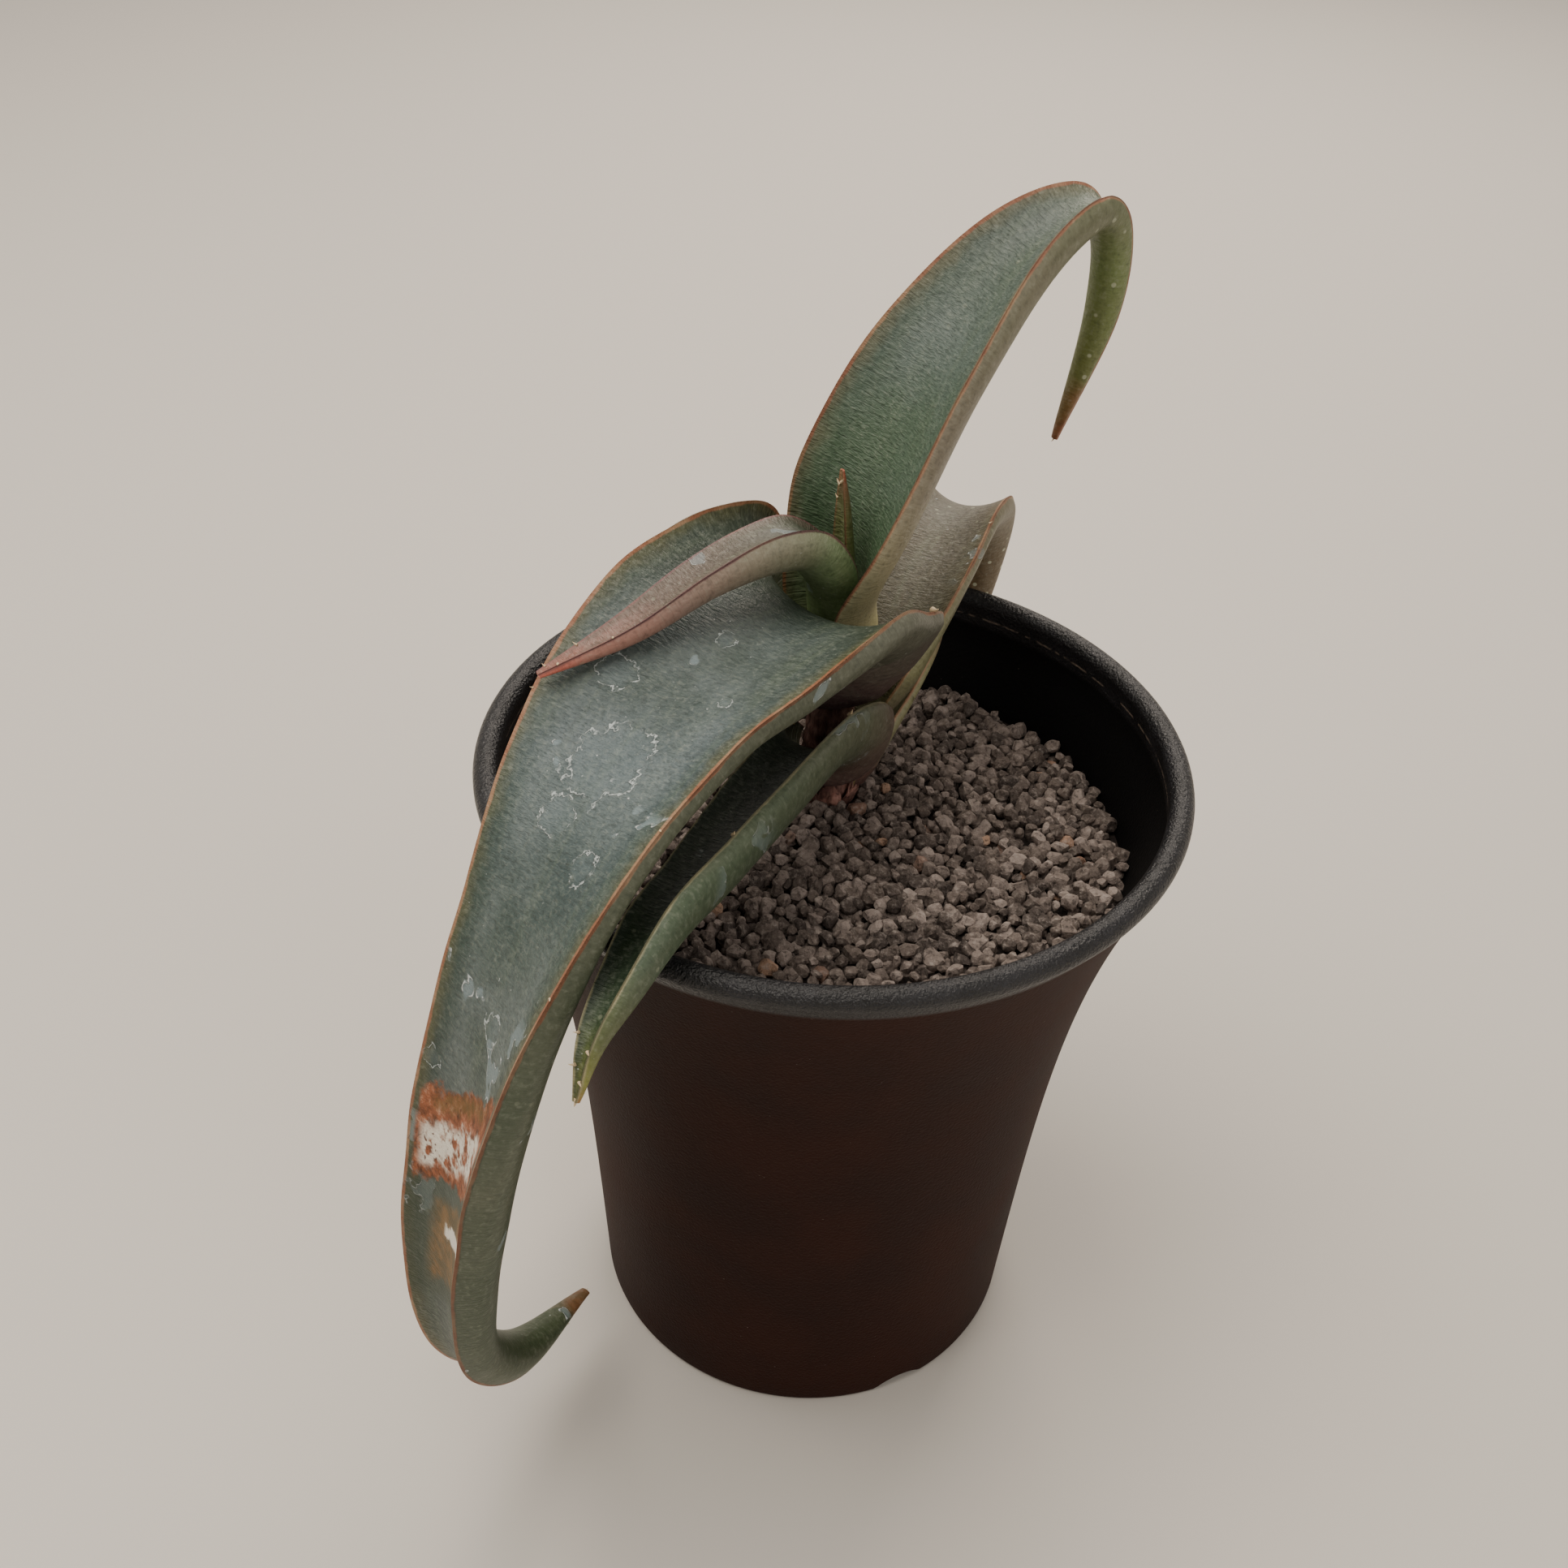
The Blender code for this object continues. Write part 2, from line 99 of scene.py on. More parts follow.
class Finish:
    """A material under construction, with short calls for its nodes."""

    def __init__(self, name: str) -> None:
        """Start a material with its Principled shader and object coordinates in millimetres."""
        self.material = bpy.data.materials.new(name)
        self.material.use_nodes = True
        self.tree = self.material.node_tree
        self.shader = self.tree.nodes["Principled BSDF"]
        place = self.add("ShaderNodeTexCoord")
        self.place = self.add("ShaderNodeVectorMath", {"operation": "SCALE"},
                              {"Vector": place.outputs["Object"]})
        self.place.inputs["Scale"].default_value = 1.0 / MM

    def add(self, kind: str, settings: dict[str, Any] | None = None,
            inputs: dict[Any, Any] | None = None) -> bpy.types.Node:
        """Add a node, with its settings and its inputs.

        Args:
            kind: The node's type name.
            settings: Properties of the node.
            inputs: By input name or place, a socket to link or a value to set.

        Returns:
            The node.
        """
        node = self.tree.nodes.new(kind)
        for key, value in (settings or {}).items():
            setattr(node, key, value)
        for key, value in (inputs or {}).items():
            self.feed(node, key, value)
        return node

    def feed(self, node: bpy.types.Node, key: Any, value: Any) -> None:
        """Link a socket to a node's input, or set the input to a value."""
        if isinstance(value, bpy.types.NodeSocket):
            self.tree.links.new(value, node.inputs[key])
        else:
            node.inputs[key].default_value = value

    def math(self, operation: str, *values: Any) -> bpy.types.NodeSocket:
        """The result of a Math node on sockets or numbers."""
        return self.add("ShaderNodeMath", {"operation": operation}, dict(enumerate(values))).outputs[0]

    def times(self, *values: Any) -> bpy.types.NodeSocket:
        """The product of one or more sockets or numbers."""
        product = values[0]
        for value in values[1:]:
            product = self.math("MULTIPLY", product, value)
        return product

    def centred(self, value: Any) -> bpy.types.NodeSocket:
        """A share of 0 to 1 moved to lie evenly about 0."""
        return self.math("SUBTRACT", value, 0.5)

    def stretched(self, where: Any, x: float, y: float, z: float) -> bpy.types.NodeSocket:
        """A place multiplied by its own number along each axis."""
        return self.add("ShaderNodeVectorMath", {"operation": "MULTIPLY"},
                        {0: where, 1: (x, y, z)}).outputs[0]

    def height(self) -> bpy.types.NodeSocket:
        """Millimetres above the ground."""
        return self.add("ShaderNodeSeparateXYZ", {}, {0: self.place.outputs[0]}).outputs[2]

    def stain(self, tint: Any, code: str, *shares: Any) -> bpy.types.NodeSocket:
        """A colour with another laid over it, as far as the product of the shares."""
        return self.mix(self.times(*shares), tint, colour(code))

    def attribute(self, name: str) -> bpy.types.NodeSocket:
        """The number that the mesh keeps under this name."""
        return self.add("ShaderNodeAttribute", {"attribute_name": name}).outputs["Fac"]

    def noise(self, size: float, detail: float = 3.0, roughness: float = 0.55, seed: float = 0.0,
              where: bpy.types.NodeSocket | None = None, distortion: float = 0.0) -> bpy.types.NodeSocket:
        """Noise whose lumps are about size millimetres across, from 0 to 1."""
        spot = self.add("ShaderNodeVectorMath", {"operation": "ADD"},
                        {0: where or self.place.outputs[0], 1: tuple(seed * step for step in SEED_STEP)})
        return self.add("ShaderNodeTexNoise", {}, {
            "Vector": spot.outputs[0], "Scale": 1.0 / size, "Detail": detail, "Roughness": roughness,
            "Distortion": distortion}).outputs["Fac"]

    def step(self, value: Any, low: float, high: float) -> bpy.types.NodeSocket:
        """A share that goes smoothly from 0 at low to 1 at high. Low may be the greater."""
        rising = low < high
        return self.add("ShaderNodeMapRange", {"interpolation_type": "SMOOTHSTEP"}, {
            "Value": value, "From Min": min(low, high), "From Max": max(low, high),
            "To Min": 0.0 if rising else 1.0, "To Max": 1.0 if rising else 0.0}).outputs["Result"]

    def mix(self, share: Any, under: Any, over: Any) -> bpy.types.NodeSocket:
        """Two colours mixed by a share, with over shown where the share is 1."""
        return self.add("ShaderNodeMix", {"data_type": "RGBA"}, {0: share, 6: under, 7: over}).outputs[2]

    def tones(self, value: bpy.types.NodeSocket, stops: Sequence[tuple[float, str]]) -> bpy.types.NodeSocket:
        """Colours along a value, one hex code for each stop."""
        node = self.add("ShaderNodeValToRGB", {}, {"Fac": value})
        elements = node.color_ramp.elements
        for _ in range(len(stops) - 2):
            elements.new(0.5)
        for element, (at, code) in zip(elements, stops):
            element.position = at
            element.color = colour(code)
        return node.outputs["Color"]

    def bump(self, height: bpy.types.NodeSocket, depth: float, over: Any = None) -> bpy.types.NodeSocket:
        """A normal from a height of 0 to 1, depth millimetres deep."""
        inputs = {"Height": height, "Distance": depth * MM, "Strength": 1.0}
        if over is not None:
            inputs["Normal"] = over
        return self.add("ShaderNodeBump", {}, inputs).outputs["Normal"]

    def close(self, tint: Any, roughness: Any, normal: Any = None, **others: Any) -> bpy.types.Material:
        """Join the shader's inputs, the others by name with _ for a space, and return the material."""
        pairs = {"Base Color": tint, "Roughness": roughness}
        if normal is not None:
            pairs["Normal"] = normal
        for key, value in (pairs | others).items():
            self.feed(self.shader, key.replace("_", " "), value)
        return self.material


@dataclass(frozen=True)
class LeafSkin:
    """Waxy skin of one leaf: a middle lightened by waxy bloom and painted sheen, warmer margins and a thin
    coloured edge line.
    """

    name: str
    middle: Sequence[tuple[float, str]]
    side: str
    edge: str
    back: Sequence[tuple[float, str]]
    band: float = 6.0
    line: float = 0.75
    back_line: float = 0.5
    bloom_and_sheen: float = 0.35
    flakes: float = 0.0
    seed: float = 0.0
    roughness: float = 0.4
    scar: bool = False
    ticks: bool = False
    spots: float = 0.25
    worn: str = "b08868"
    root: str = "c3b878"
    rings: Sequence[tuple[float, float, float]] = ()

    def build(self) -> bpy.types.Material:
        """Make the skin from the leaf's own along, across, margin and back measures."""
        f = Finish(self.name)
        along = f.attribute("along")
        across = f.attribute("across")
        margin = f.attribute("margin")
        back = f.step(f.attribute("back"), 0.0, 0.3)
        length = f.attribute("length")
        flow = f.add("ShaderNodeCombineXYZ", {}, {0: across, 1: length, 2: f.times(back, 40.0)}).outputs[0]

        # Upper face: base to tip colours, clouded and streaked lengthwise, waxy bloom and painted sheen
        # inside, a side tone outside
        cloud = f.noise(18.0, 3.0, seed=self.seed)
        wander = f.math("MULTIPLY_ADD", f.centred(cloud), 0.16, along)
        top = f.tones(wander, self.middle)
        streak = f.noise(2.6, 3.0, seed=self.seed + 1.0, where=f.stretched(flow, 1.0, 0.06, 1.0))
        top = f.stain(top, "6f7d63", f.step(streak, 0.45, 0.8), 0.3)
        inner = f.step(margin, self.band * 0.7, self.band * 2.2)
        # Grey-blue lightening of the middle, away from the margins: partly the skin's waxy bloom, partly a
        # painted sheen
        top = f.stain(top, "8f9b9f", inner, f.step(cloud, 0.3, 0.75), f.step(along, 0.28, 0.45), self.bloom_and_sheen)
        ragged = f.math("MULTIPLY_ADD", f.centred(f.noise(5.0, seed=self.seed + 2.0)), 4.0, margin)
        top = f.stain(top, self.side, f.step(ragged, self.band, 0.5), 0.65)

        # Under face: its own base to tip colours, with faint lengthwise veins
        under = f.stain(f.tones(wander, self.back), "837f6c", f.step(streak, 0.4, 0.75), 0.22)
        tint = f.mix(back, top, under)

        # Fine skin cells, paler where the cell noise is high and darker where it is low; crosswise wrinkles
        # with a painted highlight on their crests and painted shade between them
        cells = f.noise(0.9, 2.0, 0.6, seed=self.seed + 3.0)
        wrinkle = f.noise(1.0, 2.5, 0.6, seed=self.seed + 14.0, where=f.stretched(flow, 0.75, 2.1, 1.0),
                          distortion=0.5)
        tint = f.stain(tint, "b4b8a8", f.step(cells, 0.5, 0.78), 0.16)
        tint = f.stain(tint, "1d2a20", f.step(cells, 0.5, 0.25), 0.3)
        plain = f.math("MULTIPLY_ADD", back, -0.65, 1.0)
        # Painted highlight on the wrinkle crests and painted shade in the troughs, mostly on the upper face
        tint = f.stain(tint, "b9c0b2", f.step(wrinkle, 0.5, 0.7), plain, 0.09)
        tint = f.stain(tint, "141d15", f.step(wrinkle, 0.5, 0.32), plain, 0.28)

        # Pale round spots, more of them towards the tip
        dots = f.add("ShaderNodeTexVoronoi", {"feature": "F1"}, {"Vector": f.place.outputs[0], "Scale": 0.42})
        lot = f.add("ShaderNodeSeparateColor", {}, {0: dots.outputs["Color"]}).outputs[0]
        tint = f.stain(tint, "b9bda4", f.step(dots.outputs["Distance"], 0.22, 0.12), f.step(along, 0.35, 0.8),
                       f.step(lot, 0.62, 0.66), self.spots)

        crust: Any = 0.0
        if self.flakes:
            tint, crust = self.water_marks(f, tint)
        for ring in self.rings:
            tint, crust = self.dried_drop(f, tint, crust, flow, ring)
        if self.ticks:
            # Short dark marks across the leaf
            marks = f.noise(1.5, 1.0, seed=self.seed + 9.0, where=f.stretched(flow, 0.3, 1.0, 1.0))
            patches = f.noise(7.0, seed=self.seed + 10.0)
            tint = f.stain(tint, "3a3026", f.step(marks, 0.64, 0.72), f.step(patches, 0.48, 0.6), 0.75)

        rough = f.math("MULTIPLY_ADD", f.noise(3.0, 2.0, seed=self.seed + 11.0), 0.14, self.roughness)
        if self.scar:
            tint, rough = self.burn(f, tint, rough, length, across, margin, back)

        # Edge line, with its own width on each face and its own colour at the leaf's foot; pale horny teeth
        width = f.math("MULTIPLY_ADD", f.centred(f.noise(3.0, seed=self.seed + 12.0)), 0.7,
                       f.math("SUBTRACT", self.line, f.times(back, self.line - self.back_line)))
        rim = f.step(f.math("SUBTRACT", margin, width), 0.2, -0.2)
        worn = f.step(f.noise(7.0, seed=self.seed + 13.0), 0.4, 0.65)
        edge = f.mix(worn, colour(self.edge), colour(self.worn))
        edge = f.stain(edge, self.root, f.step(wander, 0.22, 0.06))
        tint = f.mix(f.times(rim, 0.8), tint, edge)
        tint = f.stain(tint, "cdb896", f.step(margin, -1.0, -1.8))

        # Relief: the wrinkles, grain everywhere, a slight swell along
        swell = f.bump(f.noise(9.0, 2.0, seed=self.seed + 15.0), 0.35)
        relief = f.math("MULTIPLY_ADD", wrinkle, f.times(plain, 0.75), f.times(cells, 0.3))
        relief = f.math("ADD", relief, crust)
        return f.close(tint, rough, f.bump(relief, 0.42, swell), Specular_IOR_Level=0.45)

    def water_marks(self, f: Finish, tint: Any) -> tuple[Any, Any]:
        """Add thin broken outlines of dried drops with a faint veil inside them, and chalky specks.

        Args:
            f: The material's builder.
            tint: Skin colour so far.

        Returns:
            The colour with the marks, and the height of their crust.
        """
        drops = f.noise(11.0, 3.0, 0.6, seed=self.seed + 4.0, distortion=0.3)
        sparse = f.step(f.noise(30.0, 1.0, seed=self.seed + 5.0), 0.5, 0.56)
        broken = f.step(f.noise(1.6, 2.0, seed=self.seed + 6.0), 0.45, 0.58)
        outline = f.step(f.math("ABSOLUTE", f.math("SUBTRACT", drops, 0.62)), 0.01, 0.002)
        ring = f.times(outline, sparse, broken)
        tint = f.stain(tint, "a7bcc4", f.step(drops, 0.6, 0.64), sparse, 0.4, self.flakes)
        tint = f.stain(tint, "dfe6e6", ring, self.flakes)
        specks = f.step(f.noise(0.8, 1.0, seed=self.seed + 7.0), 0.76, 0.8)
        patches = f.step(f.noise(20.0, seed=self.seed + 8.0), 0.5, 0.65)
        return f.stain(tint, "e6ebe8", specks, patches, 0.8 * self.flakes), f.times(ring, 0.6)

    def dried_drop(self, f: Finish, tint: Any, crust: Any, flow: Any,
                   ring: tuple[float, float, float]) -> tuple[Any, Any]:
        """Add one larger dried drop: a broken white outline round a faint veil.

        Args:
            f: The material's builder.
            tint: Skin colour so far.
            crust: Height of the marks so far.
            flow: The leaf's own flat place, across and along.
            ring: Millimetres along, millimetres across, and radius.

        Returns:
            The colour and the height of the marks with the drop.
        """
        middle, side, size = ring
        gap = f.add("ShaderNodeVectorMath", {"operation": "DISTANCE"}, {0: flow, 1: (side, middle, 0.0)})
        uneven = f.times(f.centred(f.noise(1.6 + 0.3 * size, 3.0, 0.65, seed=middle)), size + 2.4)
        gone = f.math("ADD", gap.outputs["Value"], uneven)
        outline = f.step(f.math("ABSOLUTE", f.math("SUBTRACT", gone, size)), 0.2 + 0.025 * size, 0.05)
        outline = f.times(outline, f.step(f.noise(2.2, 2.0, seed=middle + 1.0), 0.36, 0.5))
        tint = f.stain(tint, "8ea1a8", f.step(gone, size, size - 1.2), 0.12)
        tint = f.stain(tint, "d5dfdf", outline, 0.7)
        return tint, f.math("MULTIPLY_ADD", outline, 0.5, crust)

    def burn(self, f: Finish, tint: Any, rough: Any, length: Any, across: Any, margin: Any,
             back: Any) -> tuple[Any, Any]:
        """Add the healed scar near the hanging end, and a second small one below it.

        Args:
            f: The material's builder.
            tint: Skin colour so far.
            rough: Roughness so far.
            length: Millimetres along the leaf.
            across: Millimetres from the middle line.
            margin: Millimetres to the margin.
            back: 1 on the under face.

        Returns:
            The colour and roughness with the scars.
        """
        jag = f.times(f.centred(f.noise(4.0, 4.0, 0.65, seed=41.0)), 8.0)
        at = f.math("ADD", f.math("MULTIPLY_ADD", across, 0.7, length), jag)
        front = f.math("SUBTRACT", 1.0, back)
        inset = f.step(f.math("ADD", margin, f.times(jag, 0.25)), 1.2, 2.2)

        def between(start: float, stop: float, fade: float) -> bpy.types.NodeSocket:
            """1 on the upper face from start to stop along the slanting measure."""
            return f.times(f.step(at, start, start + fade), f.step(at, stop, stop - fade), front)

        # Dark green healed skin round both scars
        tint = f.stain(tint, "2c3a22", between(158.0, 196.0, 5.0), 0.6)

        # Lower scar: olive-brown, with one small white chip by the near margin
        low = f.times(between(167.5, 190.0, 3.0), f.step(across, -5.0, -1.5))
        olive = f.mix(f.step(f.noise(3.0, 3.0, seed=46.0), 0.4, 0.62), colour("5d4a1f"), colour("83602c"))
        tint = f.mix(f.times(low, 0.85), tint, olive)
        tint = f.stain(tint, "efeade", between(173.5, 177.5, 0.8), f.step(across, 0.0, 1.2),
                       f.step(margin, 0.5, 1.2))

        # Upper scar: orange-brown ragged border, dead white middle with brown pits
        area = f.times(between(145.0, 165.5, 1.6), inset)
        burnt = f.tones(f.noise(2.2, 4.0, 0.7, seed=43.0),
                        ((0.3, "4f2c14"), (0.44, "7d4728"), (0.56, "a2603e"), (0.72, "cfa185")))
        tint = f.mix(f.times(area, 0.95), tint, burnt)
        tint = f.stain(tint, "6d5a2c", between(145.5, 151.0, 2.5), f.step(margin, 3.0, 7.0), 0.6)
        tint = f.stain(tint, "ebe4d6", between(151.5, 163.0, 3.0), f.step(margin, 1.8, 4.2),
                       f.step(f.noise(3.2, 3.0, 0.7, seed=44.0), 0.38, 0.54))
        tint = f.stain(tint, "5a2c15", f.step(f.noise(1.1, 1.0, seed=45.0), 0.68, 0.74), area, 0.85)
        return tint, f.math("ADD", rough, f.times(area, 0.25))


def black_plastic(pot: "Pot") -> bpy.types.Material:
    """Moulded polypropylene: a dusty body whose red-brown is a painted warm reflection, a satin grained lip,
    and an inside painted darker as shade.

    Args:
        pot: The pot, whose wall tells outside from inside.

    Returns:
        The finish.
    """
    f = Finish("moulded_black_polypropylene")
    height = f.height()
    under_lip = pot.height - 2.0 * pot.lip
    lip = f.step(height, under_lip - 2.6, under_lip - 1.4)
    dust = f.noise(26.0, 4.0, seed=1.0)
    # Painted reflection: the body's red-brown stands for a warm surface reflected in the black plastic; dust
    # clouds it
    body = f.mix(f.step(dust, 0.35, 0.7), colour("230d07"), colour("2e140b"))
    body = f.stain(body, "3d231a", f.step(f.noise(0.7, 3.0, 0.7, seed=2.0), 0.5, 0.8), 0.3)
    # Painted shade: everything inside the wall is coloured nearly black for the shade in the pot
    middle = f.add("ShaderNodeVectorMath", {"operation": "SUBTRACT"},
                   {0: f.place.outputs[0], 1: (*POT_AXIS, 0.0)})
    radius = f.add("ShaderNodeVectorMath", {"operation": "LENGTH"},
                   {0: f.stretched(middle.outputs[0], 1.0, 1.0, 0.0)})
    share = f.math("DIVIDE", height, under_lip)
    wall = f.math("MULTIPLY_ADD", f.math("POWER", share, 4.0), pot.flare,
                  f.math("MULTIPLY_ADD", share, pot.taper, pot.foot - 0.5 * pot.wall))
    inside = f.step(f.math("SUBTRACT", wall, radius.outputs["Value"]), -0.2, 0.2)
    body = f.stain(body, "0a0a0b", inside)
    lip_tint = f.mix(f.step(f.noise(6.0, 3.0, seed=3.0), 0.4, 0.7), colour("121215"), colour("1d1d21"))
    tint = f.mix(lip, body, lip_tint)

    # A broken pale line of scale where the lip turns under
    crease = f.step(f.math("ABSOLUTE", f.math("SUBTRACT", height, under_lip - 0.05)), 0.3, 0.1)
    tint = f.stain(tint, "9c8b7c", crease, f.step(f.noise(5.0, 3.0, 0.7, seed=9.0), 0.45, 0.55), 0.45)

    # Scuffs: short pale rubs on the lip and rare chalky specks of water scale
    flat = f.stretched(f.place.outputs[0], 0.5, 0.5, 2.5)
    rub = f.times(f.step(f.noise(2.4, 3.0, 0.7, seed=4.0, where=flat), 0.69, 0.75), lip,
                  f.step(f.noise(19.0, seed=5.0), 0.5, 0.6))
    tint = f.stain(tint, "a9a6a2", rub, 0.5)
    tint = f.stain(tint, "9a938b", f.step(f.noise(0.6, 1.0, seed=6.0), 0.8, 0.84), 0.35)

    # Relief: a fine mould texture, stronger on the lip, over slow waves from moulding
    grain = f.times(f.noise(0.55, 2.0, 0.6, seed=7.0), f.math("MULTIPLY_ADD", lip, 1.6, 1.0))
    normal = f.bump(grain, 0.16, f.bump(f.noise(30.0, 1.0, seed=8.0), 0.25))
    rough = f.math("ADD", f.math("MULTIPLY_ADD", dust, 0.16, 0.58), f.times(lip, -0.3))
    rough = f.math("ADD", rough, f.times(rub, 0.2))
    return f.close(tint, rough, normal, Specular_IOR_Level=f.math("MULTIPLY_ADD", lip, 0.35, 0.14))


def grit() -> bpy.types.Material:
    """Broken volcanic grit: dull grey-brown stones, each with its own tone, pitted and dusty."""
    f = Finish("volcanic_grit")
    tint = f.tones(f.attribute("tone"), ((0.0, "544c48"), (0.3, "71665f"), (0.62, "8a7e77"), (0.86, "a3968f"),
                                         (0.94, "8f7060"), (1.0, "b3937d")))
    mottle = f.noise(1.1, 4.0, 0.65, seed=1.0)
    tint = f.stain(tint, "bfb4ac", f.step(mottle, 0.5, 0.72), 0.5)
    tint = f.stain(tint, "2b2522", f.step(mottle, 0.5, 0.3), 0.75)
    tint = f.stain(tint, "d2c7be", f.step(f.noise(0.35, 2.0, seed=2.0), 0.6, 0.8), 0.35)
    pits = f.math("ADD", f.noise(0.5, 3.0, 0.7, seed=3.0), f.times(mottle, 0.8))
    return f.close(tint, 0.93, f.bump(pits, 0.35), Specular_IOR_Level=0.25)


def fine_bed() -> bpy.types.Material:
    """Dust and fines below the stones, nearly black where no light gets in."""
    f = Finish("grit_fines")
    tint = f.mix(f.step(f.noise(1.2, 4.0, 0.7), 0.35, 0.7), colour("1c1817"), colour("3a3330"))
    return f.close(tint, 0.95, f.bump(f.noise(0.8, 4.0, 0.7, seed=1.0), 0.6), Specular_IOR_Level=0.2)


def dried_stem() -> bpy.types.Material:
    """Stem skin: purple-brown fibres that run up it, pinkish at the foot."""
    f = Finish("dried_stem_skin")
    fibre = f.noise(0.9, 4.0, 0.65, seed=1.0, where=f.stretched(f.place.outputs[0], 1.0, 1.0, 0.12))
    tint = f.tones(fibre, ((0.25, "3a2622"), (0.5, "6b4c45"), (0.7, "8f7268"), (0.85, "b49a8c")))
    foot = f.step(f.height(), 114.5, 111.5)
    tint = f.stain(tint, "c79587", foot, f.step(f.noise(3.0, seed=2.0), 0.45, 0.65), 0.7)
    return f.close(tint, f.math("MULTIPLY_ADD", fibre, 0.3, 0.5), f.bump(fibre, 0.3), Specular_IOR_Level=0.35)


def plain_floor() -> bpy.types.Material:
    """A pale matt floor."""
    f = Finish("pale_floor")
    return f.close(colour("d9d4cc"), 0.8)


# ---------------------------------------------------------------- modelling helpers


def deselect() -> None:
    """Leave edit mode and select nothing."""
    if bpy.context.object and bpy.context.object.mode != "OBJECT":
        bpy.ops.object.mode_set(mode="OBJECT")
    bpy.ops.object.select_all(action="DESELECT")


def pick(obj: bpy.types.Object) -> None:
    """Select one object alone and make it active."""
    deselect()
    obj.select_set(True)
    bpy.context.view_layer.objects.active = obj


def smooth(obj: bpy.types.Object, degrees: float) -> None:
    """Shade an object smooth, apart from edges sharper than this."""
    pick(obj)
    bpy.ops.object.shade_smooth_by_angle(angle=math.radians(degrees))


def keep(mesh: bpy.types.Mesh, name: str, numbers: Any) -> None:
    """Keep a number for each point of a mesh under a name."""
    mesh.attributes.new(name, "FLOAT", "POINT").data.foreach_set("value", numbers)


def apply_all(obj: bpy.types.Object) -> None:
    """Apply an object's modifiers in order, and its place, turn and scale."""
    pick(obj)
    for modifier in list(obj.modifiers):
        bpy.ops.object.modifier_apply(modifier=modifier.name)
    bpy.ops.object.transform_apply(location=True, rotation=True, scale=True)


def join(objects: Sequence[bpy.types.Object], name: str) -> bpy.types.Object:
    """Join objects into the first, which takes the name."""
    deselect()
    for obj in objects:
        obj.select_set(True)
    bpy.context.view_layer.objects.active = objects[0]
    if len(objects) > 1:
        bpy.ops.object.join()
    objects[0].name = name
    objects[0].data.name = name
    return objects[0]


def outward(obj: bpy.types.Object) -> None:
    """Make all normals of a closed mesh point out."""
    pick(obj)
    bpy.ops.object.mode_set(mode="EDIT")
    bpy.ops.mesh.select_all(action="SELECT")
    bpy.ops.mesh.normals_make_consistent(inside=False)
    bpy.ops.object.mode_set(mode="OBJECT")


def dress(obj: bpy.types.Object, material: bpy.types.Material, slot: str, *nodes: str) -> bpy.types.Object:
    """Give a finished piece its material and its body, and hide the CAD nodes that it stands for.

    Args:
        obj: The piece.
        material: Its finish.
        slot: The record's material slot; not used.
        nodes: CAD nodes that it replaces.

    Returns:
        The piece.
    """
    obj.data.materials.clear()
    obj.data.materials.append(material)
    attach(obj, BODY)
    if nodes:
        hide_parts(*nodes)
    LOG.info("%s: %d faces", obj.name, len(obj.data.polygons))
    return obj


def turned(name: str, profile: Sequence[Point], centre: Point, steps: int) -> bpy.types.Object:
    """Draw a ring upwards and downwards through an outline, as on a lathe.

    Args:
        name: The piece's name.
        profile: Radius and height pairs in millimetres, from axis to axis.
        centre: Where the axis stands, in millimetres.
        steps: Sides of the ring.

    Returns:
        A closed smooth piece.
    """
    deselect()
    x, y = centre[0] * MM, centre[1] * MM
    ring = profile[1:-1]
    bpy.ops.mesh.primitive_circle_add(vertices=steps, radius=ring[0][0] * MM, fill_type="TRIFAN",
                                      location=(x, y, ring[0][1] * MM))
    obj = bpy.context.object
    bpy.ops.object.transform_apply(location=True, rotation=False, scale=False)
    bpy.ops.object.mode_set(mode="EDIT")
    bpy.ops.mesh.select_all(action="DESELECT")
    bpy.ops.mesh.select_mode(type="EDGE")
    bpy.ops.mesh.select_non_manifold(extend=False, use_boundary=True, use_wire=False,
                                     use_multi_face=False, use_non_contiguous=False, use_verts=False)
    for (before, low), (radius, high) in zip(ring, ring[1:]):
        bpy.ops.mesh.extrude_edges_move()
        bpy.ops.transform.translate(value=(0.0, 0.0, (high - low) * MM))
        share = radius / before
        bpy.ops.transform.resize(value=(share, share, 1.0), center_override=(x, y, high * MM))
    bpy.ops.mesh.fill()
    bpy.ops.object.mode_set(mode="OBJECT")
    obj.name = name
    obj.data.name = name
    outward(obj)
    smooth(obj, 40.0)
    return obj


def cut(obj: bpy.types.Object, cutters: Iterable[bpy.types.Object]) -> None:
    """Cut holes with solids, which are used up."""
    for cutter in cutters:
        hole = obj.modifiers.new("hole", "BOOLEAN")
        hole.operation = "DIFFERENCE"
        hole.solver = "EXACT"
        hole.object = cutter
        deselect()
        bpy.context.view_layer.objects.active = obj
        bpy.ops.object.modifier_apply(modifier=hole.name)
        bpy.data.objects.remove(cutter, do_unlink=True)


# ---------------------------------------------------------------- leaves


# What a tooth's points keep: a margin below -1 tells the skin that they are horn
HORN_VALUES = {"along": 1.0, "across": 0.0, "margin": -2.0, "back": 0.0, "length": 10.0}
# Least width and thickness of a section, in millimetres
LEAST = 0.3


@dataclass(frozen=True)
class Station:
    """One place along a leaf, in millimetres and degrees, in the leaf's own upright plane."""

    reach: float
    sway: float
    height: float
    width: float
    roll: float
    channel: float
    thickness: float
    roundness: float


class Side(Enum):
    """Where a tooth stands, seen from above and from the leaf's foot."""

    RIGHT = -1
    TIP = 0
    LEFT = 1


@dataclass(frozen=True)
class Tooth:
    """A small horny point on a margin or at the tip, with its length in millimetres."""

    along: float
    side: Side
    length: float


